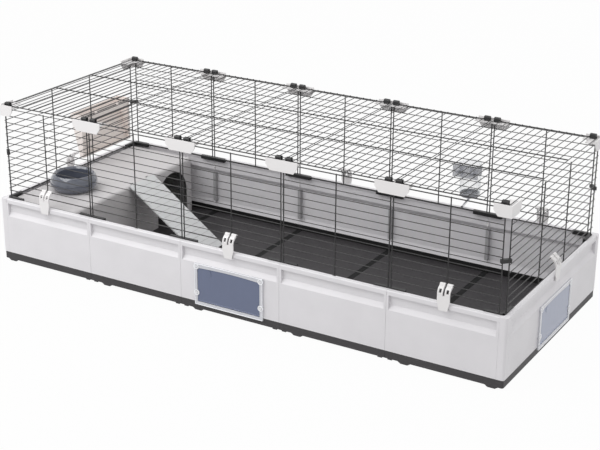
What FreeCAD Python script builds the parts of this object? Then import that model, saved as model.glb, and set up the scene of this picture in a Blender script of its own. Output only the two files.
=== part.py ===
import FreeCAD, Part
import math
import os
import re
import Sketcher

# Long modular pen for a small animal: dark floor trays, white wall panels, black
# wire sides and roof, and the house, ramp, bowl, hay rack and drinking bottle in it.
# X runs along the pen, -Y is the front, Z is up, and the origin lies on the ground
# under the middle of the pen. All sizes are millimetres or degrees.

SIZES = {
    # Overall plan
    "bay_pitch": 350.0,
    "bay_count": 5,
    "corner_margin": 12.5,
    "pen_depth": 720.0,
    "seam_gap": 0.6,
    "overrun": 5.0,
    "rest_gap": 0.3,
    # Floor trays
    "foot_height": 6.0,
    "foot_top_length": 40.0,
    "foot_base_length": 22.0,
    "foot_depth": 26.0,
    "foot_from_seam": 61.0,
    "foot_from_end": 36.0,
    "nub_height": 3.0,
    "nub_length": 14.0,
    "nub_depth": 4.0,
    "nub_from_seam": 16.0,
    "plinth_height": 24.0,
    "plinth_inset": 1.5,
    "tray_thickness": 3.0,
    "basin_rim": 8.5,
    "joint_width": 10.0,
    "joint_depth": 1.2,
    # Wall panels and corner posts
    "wall_height": 185.0,
    "wall_thickness": 3.0,
    "rim_setback": 1.0,
    "rim_bevel": 2.0,
    "rim_width": 16.0,
    "rim_skirt": 14.0,
    "rim_lip": 10.0,
    "rib_drop": 12.0,
    "band_height": 41.0,
    "band_depth": 10.0,
    "ledge_rise": 14.0,
    "ledge_shift": 1.5,
    "rib_width": 7.0,
    "notch_width": 12.0,
    "notch_depth": 4.0,
    "post_size": 23.0,
    "post_thickness": 3.0,
    "post_round": 8.0,
    # Upright wire panels
    "rung_inset": 15.8,
    "rung_diameter": 2.4,
    "first_rung_diameter": 3.2,
    "stay_diameter": 3.6,
    "weld_depth": 0.5,
    "rung_count": 13,
    "rung_pitch": 23.0,
    "first_rung_rise": 28.0,
    "rung_overhang": 2.5,
    "border_drop": 2.0,
    "stay_setback": 4.5,
    "corner_step": 14.0,
    "end_stay_share": 0.15,
    # Roof panels, their snaps and the white top connectors
    "roof_inset": 27.0,
    "roof_end_inset": 25.5,
    "roof_gap": 1.2,
    "run_count": 14,
    "cross_wire_share": 0.14,
    "flange_gap": 1.5,
    "flange_thickness": 2.5,
    "flange_reach": 45.0,
    "plate_thickness": 3.0,
    "plate_length": 105.0,
    "plate_height": 35.0,
    "plate_rise": 7.0,
    "plate_taper": 13.0,
    "plate_drop": 18.0,
    "block_front_leg": 53.0,
    "block_end_leg": 65.0,
    "block_height": 35.0,
    "snap_length": 18.0,
    "snap_depth": 14.0,
    "snap_height": 15.0,
    "snap_round": 4.5,
    "hinge_clearance": 0.08,
    "catch_clearance": 0.3,
    # Black joiners along the rim and black clips half way up the corners
    "joiner_length": 98.0,
    "joiner_leg": 55.0,
    "joiner_reach": 10.0,
    "joiner_wall": 5.6,
    "joiner_rise": 4.0,
    "joiner_top": 3.8,
    "joiner_fall": 9.0,
    "joiner_foot": 3.5,
    "socket_clearance": 0.1,
    "corner_clip_length": 30.0,
    "corner_clip_width": 10.0,
    "corner_clip_height": 11.0,
    "corner_clip_turn": 45.0,
    # White two-hook clips that hold the wire panels down on the rim
    "clip_width": 38.0,
    "clip_thickness": 3.0,
    "clip_standoff": 1.0,
    "clip_loop_radius": 5.0,
    "clip_arm_width": 16.0,
    "clip_arm_drop": 26.0,
    "clip_window_width": 8.0,
    "clip_window_top": 7.5,
    "clip_window_foot": 19.0,
    "clip_taper": 7.0,
    "clip_taper_start": 42.0,
    "clip_arm_bend": 24.0,
    "clip_lip_drop": 1.8,
    "clip_lip_reach": 7.0,
    "clip_tip_angle": 60.0,
    # Doors in the front and right walls
    "door_width": 242.0,
    "door_height": 135.0,
    "door_drop": 8.0,
    "door_thickness": 5.0,
    "door_rail": 10.0,
    "door_foot_rail": 11.0,
    "door_head_rail": 14.0,
    "door_head_bend": 1600.0,
    "lug_radius": 9.5,
    "lug_inset": 7.0,
    "lug_top_drop": 9.5,
    "lug_low_rise": 40.0,
    "flap_thickness": 2.6,
    "flap_clearance": 1.0,
    "barrel_radius": 2.3,
    "barrel_clearance": 0.7,
    "trunnion_radius": 1.2,
    "trunnion_length": 7.0,
    "tab_radius": 10.0,
    "tab_thickness": 1.0,
    "tab_shift": 70.0,
    "doorway_margin": 7.0,
    "screw_head_radius": 4.0,
    "screw_head_height": 2.0,
    "screw_radius": 1.8,
    # House whose flat roof is the loft
    "house_clearance": 29.5,
    "house_width": 672.0,
    "house_top_length": 252.0,
    "house_height": 200.0,
    "house_thickness": 3.0,
    "house_corner_radius": 30.0,
    "house_edge_radius": 12.0,
    "arch_width": 176.0,
    "arch_spring_height": 87.5,
    "arch_shift": 200.0,
    # Ramp hooked on two short rods in the loft's edge
    "ramp_width": 134.0,
    "ramp_shift": 28.0,
    "ramp_thickness": 5.0,
    "ramp_angle": 35.0,
    "ramp_start": 1.5,
    "ramp_lift": 4.5,
    "ramp_neck": 6.0,
    "ramp_hook_width": 12.0,
    "ramp_hook_spacing": 84.0,
    "ramp_hook_radius": 5.2,
    "ramp_hook_angle": 30.0,
    "rod_radius": 2.5,
    "rod_reach": 8.5,
    "bay_margin": 2.0,
    "groove_count": 14,
    "groove_width": 1.6,
    "groove_depth": 0.9,
    # Food bowl
    "bowl_foot_radius": 62.0,
    "bowl_belly_radius": 78.0,
    "bowl_rim_radius": 66.0,
    "bowl_well_radius": 58.0,
    "bowl_height": 55.0,
    "bowl_belly_height": 22.0,
    "bowl_low_bend": 30.0,
    "bowl_high_bend": 44.0,
    "bowl_floor": 8.0,
    "bowl_rim_thickness": 3.0,
    "bowl_from_edge": 146.0,
    "bowl_shift_front": 150.0,
    # Hay rack on the left wire panel
    "rack_length": 268.0,
    "rack_depth": 50.0,
    "rack_foot_depth": 14.0,
    "rack_height": 152.0,
    "rack_band": 34.0,
    "rack_border": 10.0,
    "rack_wall": 3.0,
    "rack_shift": 185.0,
    "rack_rung": 6,
    "rack_top_rise": 2.0,
    "rack_hook_spacing": 120.0,
    "hook_width": 10.0,
    "hook_thickness": 3.0,
    "hook_drop": 7.0,
    # Drinking bottle behind the back wire panel
    "bottle_setback": 88.0,
    "bottle_standoff": 32.0,
    "bottle_radius": 34.5,
    "bottle_length": 105.0,
    "bottle_wall": 1.5,
    "bottle_neck_radius": 28.5,
    "bottle_shoulder": 3.0,
    "bottle_crown": 8.0,
    "cap_radius": 32.0,
    "cap_height": 12.0,
    "cap_floor": 3.0,
    "spout_radius": 4.0,
    "spout_bore": 3.1,
    "spout_drop": 2.0,
    "spout_bend": 10.0,
    "spout_angle": 79.0,
    "spout_reach": 50.0,
    "holder_length": 86.0,
    "holder_height": 42.0,
    "holder_thickness": 4.0,
    "holder_band": 30.0,
    "holder_web": 28.0,
    "holder_rung": 4,
    "holder_fit": 0.4,
    "holder_fall": 19.0,
    "holder_hook_spacing": 50.0,
}

doc = FreeCAD.newDocument("SmallAnimalPen")
sheet = doc.addObject("Spreadsheet::Sheet", "Sizes")
for row, (alias, number) in enumerate(SIZES.items(), start=1):
    sheet.set("A%d" % row, alias)
    sheet.set("B%d" % row, str(number))
    sheet.setAlias("B%d" % row, alias)
doc.recompute()

# Places that several pieces share, as sums of the sheet's sizes
PLACES = {
    "half_length": "(bay_pitch * bay_count / 2 + corner_margin)",
    "half_depth": "(pen_depth / 2)",
    "floor_top": "(foot_height + plinth_height)",
    "basin_floor": "(foot_height + tray_thickness)",
    "rim_top": "(foot_height + plinth_height + wall_height)",
    "first_rung": "(rim_top + first_rung_rise)",
    "top_rung": "(first_rung + rung_pitch * (rung_count - 1))",
    "stay_offset": "((rung_diameter + stay_diameter) / 2 - weld_depth)",
    "stay_inset": "(rung_inset + stay_offset)",
    "bay_reach": "(bay_pitch / 2 - stay_setback)",
    "corner_reach": "(bay_pitch / 2 + corner_margin - stay_inset - corner_step)",
    "end_reach": "(half_depth - stay_inset - corner_step)",
    "border_level": "(rim_top - border_drop)",
    "flange_low": "(top_rung + flange_gap)",
    "flange_top": "(flange_low + flange_thickness)",
    "plate_top": "(flange_top + plate_rise)",
    "plate_inset": "(rung_inset - rung_diameter / 2 - rest_gap - plate_thickness)",
    "roof_axis": "(flange_top + roof_gap + stay_diameter / 2)",
    "roof_reach": "(half_depth - roof_inset)",
    "roof_corner_reach": "(bay_pitch / 2 + corner_margin - roof_end_inset)",
    "clip_axis": "(first_rung + rung_pitch)",
    "house_back": "(house_clearance - half_length)",
    "loft_edge": "(house_back + house_top_length)",
    "loft_top": "(basin_floor + house_height)",
    "rod_x": "(loft_edge - house_edge_radius + rod_reach * sin(ramp_angle))",
    "rod_z": "(loft_top - house_edge_radius + rod_reach * cos(ramp_angle))",
    "ramp_bore": "(rod_radius + hinge_clearance)",
}
WORD = re.compile(r"[a-z][a-z_]*")


def spelled(expression):
    """Put the sums behind the shared places into an expression."""
    found = True
    while found:
        found = any(word in PLACES for word in WORD.findall(expression))
        expression = WORD.sub(lambda m: PLACES.get(m.group(), m.group()), expression)
    return expression


def bound(expression):
    """Write the sheet's name before each size in an expression."""
    text = spelled(expression)
    return WORD.sub(lambda m: "Sizes." + m.group() if m.group() in SIZES else m.group(), text)


def value(expression):
    """Number that an expression gives now."""
    return float(sheet.evalExpression(spelled(expression)))


def bind(target, prop, expression):
    """Tie a property of an object to the sheet."""
    target.setExpression(prop, bound(expression))


def new_body(label):
    """Empty body whose label is also the name of its file."""
    body = doc.addObject("PartDesign::Body", label)
    body.Label = label
    return body


def origin_plane(body, role):
    """One of a body's own origin planes."""
    return [item for item in body.Origin.OriginFeatures if item.Role == role][0]


def new_sketch(body, name, role, offset="0"):
    """Sketch on an origin plane of its body, moved along the plane's normal."""
    sketch = body.newObject("Sketcher::SketchObject", name)
    sketch.AttachmentSupport = [(origin_plane(body, role), "")]
    sketch.MapMode = "FlatFace"
    if offset != "0":
        bind(sketch, "AttachmentOffset.Base.z", offset)
    return sketch


def pin(sketch, geometry, position, across, up):
    """Hold one point of a sketch at two expressions."""
    for kind, expression in (("DistanceX", across), ("DistanceY", up)):
        rule = Sketcher.Constraint(kind, -1, 1, geometry, position, value(expression))
        index = sketch.addConstraint(rule)
        sketch.setExpression("Constraints[%d]" % index, bound(expression))


def add_circle(sketch, across, up, radius):
    """Circle in a sketch, with its centre and radius tied to the sheet."""
    centre = FreeCAD.Vector(value(across), value(up), 0)
    circle = Part.Circle(centre, FreeCAD.Vector(0, 0, 1), value(radius))
    geometry = sketch.addGeometry(circle, False)
    index = sketch.addConstraint(Sketcher.Constraint("Radius", geometry, value(radius)))
    sketch.setExpression("Constraints[%d]" % index, bound(radius))
    pin(sketch, geometry, 3, across, up)


def arc_between(start, end, radius):
    """Short arc from start to end that turns left for a positive radius."""
    chord = end - start
    size = abs(radius)
    rise = math.sqrt(max(size * size - chord.Length * chord.Length / 4, 0))
    left = FreeCAD.Vector(-chord.y, chord.x, 0)
    left.normalize()
    side = 1 if radius > 0 else -1
    centre = (start + end) * 0.5 + left * (side * rise)
    first, last = (start, end) if side > 0 else (end, start)
    angles = [math.atan2(spot.y - centre.y, spot.x - centre.x) for spot in (first, last)]
    circle = Part.Circle(centre, FreeCAD.Vector(0, 0, 1), size)
    return Part.ArcOfCircle(circle, angles[0], angles[1])


def add_outline(sketch, points):
    """Closed outline through pairs of expressions; a third one is an arc's radius."""
    first_geometry = sketch.GeometryCount
    spots = [FreeCAD.Vector(value(p[0]), value(p[1]), 0) for p in points]
    ends = []
    radii = []
    for i, point in enumerate(points):
        start, end = spots[i], spots[(i + 1) % len(points)]
        if len(point) == 3:
            geometry = sketch.addGeometry(arc_between(start, end, value(point[2])), False)
            ends.append((geometry, 1, 2) if value(point[2]) > 0 else (geometry, 2, 1))
            radii.append((geometry, point[2]))
        else:
            geometry = sketch.addGeometry(Part.LineSegment(start, end), False)
            ends.append((geometry, 1, 2))
    for i, (geometry, _, tail) in enumerate(ends):
        follower, head, _ = ends[(i + 1) % len(ends)]
        sketch.addConstraint(Sketcher.Constraint("Coincident", geometry, tail, follower, head))
    for (geometry, head, _), point in zip(ends, points):
        pin(sketch, geometry, head, point[0], point[1])
    for geometry, radius in radii:
        size = abs(value(radius))
        index = sketch.addConstraint(Sketcher.Constraint("Radius", geometry, size))
        sketch.setExpression("Constraints[%d]" % index, bound("abs(%s)" % radius))
    return first_geometry


def box_points(low, high):
    """Corners of a rectangle between two pairs of expressions."""
    return [low, (high[0], low[1]), high, (low[0], high[1])]


def add_pad(body, name, sketch, length, symmetric=False, back=False):
    """Pad of a sketch along its plane's normal, or evenly to both sides of it."""
    pad = body.newObject("PartDesign::Pad", name)
    pad.Profile = sketch
    pad.Midplane = symmetric
    pad.Reversed = back
    bind(pad, "Length", length)
    return pad


def add_pocket(body, name, sketch, length, symmetric=False, back=False):
    """Pocket of a sketch, whose loss of volume is checked."""
    doc.recompute()
    before = body.Shape.Volume
    pocket = body.newObject("PartDesign::Pocket", name)
    pocket.Profile = sketch
    pocket.Midplane = symmetric
    pocket.Reversed = back
    bind(pocket, "Length", length)
    doc.recompute()
    if body.Shape.Volume >= before:
        raise RuntimeError("%s cuts nothing from %s" % (name, body.Label))
    return pocket


def padded(body, name, role, points, length, offset="0", symmetric=False, back=False):
    """Outline on a plane and its pad, in one call."""
    sketch = new_sketch(body, name + "_outline", role, offset)
    add_outline(sketch, points)
    return add_pad(body, name, sketch, length, symmetric, back)


def pocketed(body, name, role, points, length, offset="0", symmetric=False, back=False):
    """Outline on a plane and its pocket, in one call."""
    sketch = new_sketch(body, name + "_outline", role, offset)
    add_outline(sketch, points)
    return add_pocket(body, name, sketch, length, symmetric, back)


def row_of(body, name, feature, sketch, axis, length, count):
    """Row of copies of one feature along an axis of its sketch."""
    doc.recompute()
    pattern = body.newObject("PartDesign::LinearPattern", name)
    pattern.Originals = [feature]
    pattern.Direction = (sketch, [axis])
    bind(pattern, "Length", length)
    bind(pattern, "Occurrences", count)
    body.Tip = pattern
    return pattern


def repeated(body, name, sketch, axis, length, count):
    """Row of copies of everything in a body so far."""
    doc.recompute()
    pattern = body.newObject("PartDesign::LinearPattern", name)
    pattern.TransformMode = "Whole shape"
    pattern.Direction = (sketch, [axis])
    bind(pattern, "Length", length)
    bind(pattern, "Occurrences", count)
    body.Tip = pattern
    return pattern


def mirrored(body, name, role):
    """Mirror image of everything in a body so far, beside it."""
    doc.recompute()
    mirror = body.newObject("PartDesign::Mirrored", name)
    mirror.TransformMode = "Whole shape"
    mirror.MirrorPlane = (origin_plane(body, role), [""])
    body.Tip = mirror
    return mirror


def place(target, x="0", y="0", z="0", turn=0):
    """Put an object at three expressions, turned about Z by whole quarter turns."""
    spin = FreeCAD.Rotation(FreeCAD.Vector(0, 0, 1), 90 * turn)
    target.Placement = FreeCAD.Placement(FreeCAD.Vector(), spin)
    for letter, expression in zip("xyz", (x, y, z)):
        if expression != "0":
            bind(target, "Placement.Base." + letter, expression)


def grouped(label, members):
    """One sub-part made of several separate solids."""
    group = doc.addObject("Part::Compound", label)
    group.Label = label
    group.Links = members
    return group


def bay_centre(bay):
    """Expression for the middle of a bay, counted from 1 at the left."""
    return "((%d - (bay_count + 1) / 2) * bay_pitch)" % bay


def make_tray(label, is_end):
    """Floor tray: a basin whose rim carries the walls, with feet and seam joints.

    An end tray is drawn for the left end: its outer end is rounded at the corners and
    carries a third foot, and turned by half a turn it fits the right end.
    """
    body = new_body(label)
    skirt = "(half_depth - plinth_inset)"
    inside = "(half_depth - plinth_inset - basin_rim)"
    seam = "(bay_pitch / 2 - seam_gap / 2)"
    if is_end:
        end = "(-bay_pitch / 2 - corner_margin + plinth_inset)"
        bend = "(post_round - plinth_inset)"
        outline = [
            (seam, skirt),
            ("%s + %s" % (end, bend), skirt, bend),
            (end, "%s - %s" % (skirt, bend)),
            (end, "%s - %s" % (bend, skirt), bend),
            ("%s + %s" % (end, bend), "-" + skirt),
            (seam, "-" + skirt),
        ]
        basin_end = end + " + basin_rim"
    else:
        outline = box_points(("-" + seam, "-" + skirt), (seam, skirt))
        basin_end = "-bay_pitch / 2 - overrun"
    padded(body, "block", "XY_Plane", outline, "plinth_height", "foot_height")
    basin = box_points((basin_end, "-" + inside), ("bay_pitch / 2 + overrun", inside))
    pocketed(body, "basin", "XY_Plane", basin, "floor_top - basin_floor", "floor_top")
    for side in ("right",) if is_end else ("left", "right"):
        sign = "" if side == "right" else "-"
        joint = box_points(
            (sign + "(bay_pitch / 2 - joint_width)", "basin_floor - joint_depth"),
            (sign + "(bay_pitch / 2 + overrun)", "basin_floor + overrun / 2"),
        )
        pocketed(body, side + "_joint", "XZ_Plane", joint, "2 * " + inside, symmetric=True)
    add_feet(body, is_end)
    return body


def add_feet(body, is_end):
    """Feet of a tray: one at its left front, one at its right back, nubs at the seams."""
    face = "(half_depth - plinth_inset)"
    root = "foot_height + tray_thickness / 2"

    def foot(name, middle, front):
        points = [
            ("%s - foot_base_length / 2" % middle, "0"),
            ("%s + foot_base_length / 2" % middle, "0"),
            ("%s + foot_top_length / 2" % middle, "foot_height"),
            ("%s + foot_top_length / 2" % middle, root),
            ("%s - foot_top_length / 2" % middle, root),
            ("%s - foot_top_length / 2" % middle, "foot_height"),
        ]
        offset = face if front else "foot_depth - " + face
        padded(body, name, "XZ_Plane", points, "foot_depth", offset, back=True)

    left = "(-bay_pitch / 2 + foot_from_seam)"
    if is_end:
        left = "(-bay_pitch / 2 - corner_margin + foot_from_end)"
        foot("corner_foot", left, front=False)
    foot("front_foot", left, front=True)
    foot("back_foot", "(bay_pitch / 2 - foot_from_seam)", front=False)
    for side, sign in (("right", ""),) if is_end else (("left", "-"), ("right", "")):
        middle = "%s(bay_pitch / 2 - nub_from_seam)" % sign
        nub = box_points(("%s - nub_length / 2" % middle, "foot_height - nub_height"),
                         ("%s + nub_length / 2" % middle, root))
        for edge, offset in (("front", face), ("back", "nub_depth - " + face)):
            name = "%s_%s_nub" % (side, edge)
            padded(body, name, "XZ_Plane", nub, "nub_depth", offset, back=True)


def make_wall(label, length, has_door=False, has_notch=False):
    """Wall panel drawn with its outer face on Y = 0 and its middle on X = 0.

    Above a sloping ledge the face steps back into a band. A rim with an outer skirt
    and an inner lip tops it, and at both ends ribs fill the band out to the face.
    """
    body = new_body(label)
    ledge_top = "(rim_top - wall_thickness - band_height)"
    ledge_low = "(rim_top - wall_thickness - band_height - ledge_rise)"
    inner = "(band_depth + wall_thickness)"
    rib_top = "(rim_top - rib_drop)"
    section = [
        ("0", "floor_top"),
        ("0", rib_top),
        ("rim_setback", rib_top),
        ("rim_setback", "rim_top - rim_bevel"),
        ("rim_setback + rim_bevel", "rim_top"),
        ("rim_width", "rim_top"),
        ("rim_width", "rim_top - rim_lip"),
        (inner, "rim_top - rim_lip"),
        (inner, ledge_top + " - ledge_shift"),
        ("wall_thickness", ledge_low + " - ledge_shift"),
        ("wall_thickness", "floor_top"),
    ]
    padded(body, "panel", "YZ_Plane", section, length, symmetric=True)
    recess = [
        ("-overrun", ledge_low),
        ("0", ledge_low),
        ("band_depth", ledge_top),
        ("band_depth", "rim_top - wall_thickness"),
        ("rim_setback + wall_thickness", "rim_top - wall_thickness"),
        ("rim_setback + wall_thickness", "rim_top - rim_skirt"),
        ("rim_setback", "rim_top - rim_skirt"),
        ("rim_setback", rib_top + " + rim_setback"),
        ("-overrun", rib_top + " + rim_setback"),
    ]
    pocketed(body, "band", "YZ_Plane", recess, length + " - 2 * rib_width", symmetric=True)
    if has_notch:
        notch = box_points(("-notch_width / 2", "rim_width - wall_thickness"),
                           ("notch_width / 2", "rim_width + overrun"))
        pocketed(body, "notch", "XY_Plane", notch, "notch_depth", "rim_top")
    if has_door:
        cut = "2 * (band_depth + overrun)"
        half = "(door_width / 2 - doorway_margin - door_rail)"
        low = "floor_top - door_drop + door_foot_rail + doorway_margin"
        high = "floor_top - door_drop + door_height - door_head_rail - doorway_margin / 2"
        pocketed(body, "doorway", "XZ_Plane", box_points(("-" + half, low), (half, high)), cut,
                 symmetric=True)
        sketch = new_sketch(body, "screw_holes_outline", "XZ_Plane")
        for across, up in lug_places():
            add_circle(sketch, across, up, "screw_radius + socket_clearance")
        add_pocket(body, "screw_holes", sketch, cut, symmetric=True)
    return body


def make_posts():
    """Four corner posts, rounded outside and hollow inside, with a flat cap at rim height."""
    body = new_body("corner_posts")
    x = "(half_length - post_size)"
    y = "(half_depth - post_size)"
    inner = "(post_size - post_thickness)"
    core = "(post_size - rim_width)"

    def sector(radius):
        return [
            (x + " + post_size", y),
            (x + " + post_size", y + " + post_size - post_round", "post_round"),
            (x + " + post_size - post_round", y + " + post_size"),
            (x, y + " + post_size"),
            (x, "%s + %s" % (y, radius), "-" + radius),
            ("%s + %s" % (x, radius), y),
        ]

    padded(body, "shell", "XY_Plane", sector(inner), "wall_height", "floor_top")
    padded(body, "cap", "XY_Plane", sector(core), "wall_thickness", "rim_top - wall_thickness")
    mirrored(body, "left_posts", "YZ_Plane")
    mirrored(body, "front_posts", "XZ_Plane")
    return body


def make_side_grille(label, left, right, middles):
    """Upright grille whose rungs lie in the plane Y = 0, with its stays behind them.

    The stays stand on a border wire just inside the rim, the lowest rung is thicker
    than the others, and every crossing is welded.
    """
    body = new_body(label)
    sketch = new_sketch(body, "stay_sections", "XY_Plane", "border_level")
    for stay in ["-" + left, right] + middles:
        add_circle(sketch, stay, "stay_offset", "stay_diameter / 2")
    add_pad(body, "stays", sketch, "flange_low - border_level")
    border = new_sketch(body, "border_section", "YZ_Plane", "-" + left)
    add_circle(border, "stay_offset", "border_level", "stay_diameter / 2")
    add_pad(body, "border", border, "%s + %s" % (left, right))
    start = "-%s - rung_overhang" % left
    length = "%s + %s + 2 * rung_overhang" % (left, right)
    low = new_sketch(body, "low_section", "YZ_Plane", start)
    add_circle(low, "0", "first_rung", "first_rung_diameter / 2")
    add_pad(body, "low_rung", low, length)
    rung = new_sketch(body, "rung_section", "YZ_Plane", start)
    add_circle(rung, "0", "clip_axis", "rung_diameter / 2")
    pad = add_pad(body, "rung", rung, length)
    row_of(body, "rungs", pad, rung, "V_Axis", "rung_pitch * (rung_count - 2)", "rung_count - 1")
    return body


def make_roof_grille(label, left, right):
    """Roof grille drawn about its hinge wire, which lies on the X axis at the back.

    A frame of thick wires and two thick cross wires carry a row of thin runs on top.
    """
    body = new_body(label)
    depth = "2 * roof_reach"
    cross = new_sketch(body, "cross_sections", "YZ_Plane", "-" + left)
    for y in ("0", "-" + depth):
        add_circle(cross, y, "0", "stay_diameter / 2")
    for sign in ("-", "+"):
        add_circle(cross, "-roof_reach %s cross_wire_share * %s" % (sign, depth), "0", "stay_diameter / 2")
    add_pad(body, "cross_wires", cross, "%s + %s" % (left, right))
    borders = new_sketch(body, "border_sections", "XZ_Plane")
    for x in ("-" + left, right):
        add_circle(borders, x, "0", "rung_diameter / 2")
    add_pad(body, "borders", borders, depth)
    pitch = "((%s + %s) / run_count)" % (left, right)
    run = new_sketch(body, "run_section", "XZ_Plane")
    add_circle(run, "%s - %s" % (pitch, left), "stay_offset", "rung_diameter / 2")
    pad = add_pad(body, "run", run, depth)
    row_of(body, "runs", pad, run, "H_Axis", "%s * (run_count - 2)" % pitch, "run_count - 1")
    return body


def make_connectors():
    """White angle pieces over the seams and white blocks over the corners."""
    seam = new_body("seam_connectors")
    centre = "(bay_pitch * (1 - bay_count / 2))"
    low = "(plate_top - plate_height)"
    out = "(half_depth - plate_inset)"
    plate = [
        (centre + " - plate_length / 2 + plate_taper", low),
        (centre + " + plate_length / 2 - plate_taper", low),
        (centre + " + plate_length / 2", low + " + plate_drop"),
        (centre + " + plate_length / 2", "plate_top"),
        (centre + " - plate_length / 2", "plate_top"),
        (centre + " - plate_length / 2", low + " + plate_drop"),
    ]
    padded(seam, "plate", "XZ_Plane", plate, "plate_thickness", out, back=True)
    flange = box_points((centre + " - plate_length / 2", "-" + out),
                        (centre + " + plate_length / 2", "flange_reach - half_depth"))
    padded(seam, "flange", "XY_Plane", flange, "flange_thickness", "flange_low")
    row = new_sketch(seam, "seam_row", "XY_Plane")
    repeated(seam, "seams", row, "H_Axis", "bay_pitch * (bay_count - 2)", "bay_count - 1")
    mirrored(seam, "back_seams", "XZ_Plane")

    block = new_body("corner_blocks")
    end_out = "(half_length - plate_inset)"
    block_low = "(plate_top - block_height)"

    def cheek(edge, leg):
        return [
            ("%s - %s" % (edge, leg), "plate_top"),
            ("%s - %s" % (edge, leg), "plate_top - plate_drop"),
            ("%s - %s + plate_taper" % (edge, leg), block_low),
            (edge, block_low),
            (edge, "plate_top"),
        ]

    padded(block, "front_cheek", "XZ_Plane", cheek(end_out, "block_front_leg"), "plate_thickness",
           out, back=True)
    end_cheek = [("-(%s)" % y, z) for y, z in cheek(out, "block_end_leg")]
    padded(block, "end_cheek", "YZ_Plane", end_cheek, "plate_thickness", end_out + " - plate_thickness")
    top = [
        (end_out, "-" + out),
        (end_out, "block_end_leg - " + out),
        ("half_length - flange_reach", "block_end_leg - " + out),
        ("half_length - flange_reach", "flange_reach - half_depth"),
        (end_out + " - block_front_leg", "flange_reach - half_depth"),
        (end_out + " - block_front_leg", "-" + out),
    ]
    padded(block, "top", "XY_Plane", top, "flange_thickness", "flange_low")
    mirrored(block, "left_blocks", "YZ_Plane")
    mirrored(block, "back_blocks", "XZ_Plane")
    return grouped("top_connectors", [seam, block])


def snap_places():
    """Middles of the snaps along X: two for each roof panel, between its outer wires."""
    places = []
    for bay in range(1, SIZES["bay_count"] + 1):
        left, right = roof_reaches(bay)
        half_pitch = "(%s + %s) / run_count / 2" % (left, right)
        places.append("%s - %s + %s" % (bay_centre(bay), left, half_pitch))
        places.append("%s + %s - %s" % (bay_centre(bay), right, half_pitch))
    return places


def make_snaps():
    """Black snaps on the connectors: open catches in front, closed hinges behind."""
    half = "(snap_depth / 2)"
    shoulder = "(snap_depth / 2 - snap_round)"
    top = "(flange_top + snap_height)"
    side = "(flange_top + snap_height - snap_round)"
    slot = "(stay_diameter / 2 + catch_clearance)"
    bodies = []
    for name, y in (("roof_catches", "(-roof_reach)"), ("roof_hinges", "roof_reach")):
        body = new_body(name)
        outline = [
            (y + " - " + half, side),
            (y + " - " + half, "flange_top"),
            (y + " + " + half, "flange_top"),
            (y + " + " + half, side, "snap_round"),
            (y + " + " + shoulder, top),
        ]
        if name == "roof_catches":
            outline += [
                (y + " + " + slot, top),
                (y + " + " + slot, "roof_axis", "-" + slot),
                (y, "roof_axis - " + slot, "-" + slot),
                (y + " - " + slot, "roof_axis"),
                (y + " - " + slot, top),
            ]
        outline += [(y + " - " + shoulder, top, "snap_round")]
        for number, middle in enumerate(snap_places(), start=1):
            sketch = new_sketch(body, "outline_%d" % number, "YZ_Plane", middle + " - snap_length / 2")
            add_outline(sketch, outline)
            if name == "roof_hinges":
                add_circle(sketch, y, "roof_axis", "stay_diameter / 2 + hinge_clearance")
            add_pad(body, "snap_%d" % number, sketch, "snap_length")
        bodies.append(body)
    return grouped("roof_snaps", bodies)


def joiner_section(sign, face):
    """Section of a joiner: a channel round the border wire, open towards the rim."""
    inner = "rim_width + joiner_reach"
    throat = "rim_width + joiner_reach - joiner_wall"
    points = [
        ("rim_width + rest_gap", "rim_top + joiner_rise - joiner_top"),
        (throat, "rim_top + joiner_rise - joiner_top"),
        (throat, "rim_top - joiner_fall + joiner_foot"),
        ("rim_width", "rim_top - joiner_fall + joiner_foot"),
        ("rim_width", "rim_top - joiner_fall"),
        (inner, "rim_top - joiner_fall"),
        (inner, "rim_top + joiner_rise"),
        ("rim_width + rest_gap", "rim_top + joiner_rise"),
    ]
    return [("%s(%s - (%s))" % (sign, face, inset), level) for inset, level in points]


def make_joiners():
    """Black channels inside the rim at the seams, and angled ones at the corners."""
    socket = "stay_diameter / 2 + socket_clearance"
    top = "rim_top + joiner_rise"
    stay_line = "(half_depth - stay_inset)"
    seam = new_body("rim_bars")
    centre = "(bay_pitch * (1 - bay_count / 2))"
    section = joiner_section("-", "half_depth")
    padded(seam, "bar", "YZ_Plane", section, "joiner_length", centre + " - joiner_length / 2")
    holes = new_sketch(seam, "stay_holes_outline", "XY_Plane", top)
    for sign in ("-", "+"):
        add_circle(holes, "%s %s stay_setback" % (centre, sign), "-" + stay_line, socket)
    add_pocket(seam, "stay_holes", holes, "joiner_top + joiner_foot / 2")
    repeated(seam, "seams", holes, "H_Axis", "bay_pitch * (bay_count - 2)", "bay_count - 1")
    mirrored(seam, "back_bars", "XZ_Plane")

    corner = new_body("rim_angles")
    x_end = "(half_length - post_size - rest_gap)"
    y_end = "(half_depth - post_size - rest_gap)"
    padded(corner, "front_leg", "YZ_Plane", section, "joiner_leg", x_end + " - joiner_leg")
    padded(corner, "end_leg", "XZ_Plane", joiner_section("", "half_length"), "joiner_leg", y_end, back=True)
    sockets = new_sketch(corner, "stay_holes_outline", "XY_Plane", top)
    add_circle(sockets, "half_length - stay_inset - corner_step", "-" + stay_line, socket)
    add_circle(sockets, "half_length - stay_inset", "-end_reach", socket)
    add_pocket(corner, "stay_holes", sockets, "joiner_top + joiner_foot / 2")
    mirrored(corner, "left_angles", "YZ_Plane")
    mirrored(corner, "back_angles", "XZ_Plane")
    return grouped("rim_joiners", [seam, corner])


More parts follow.
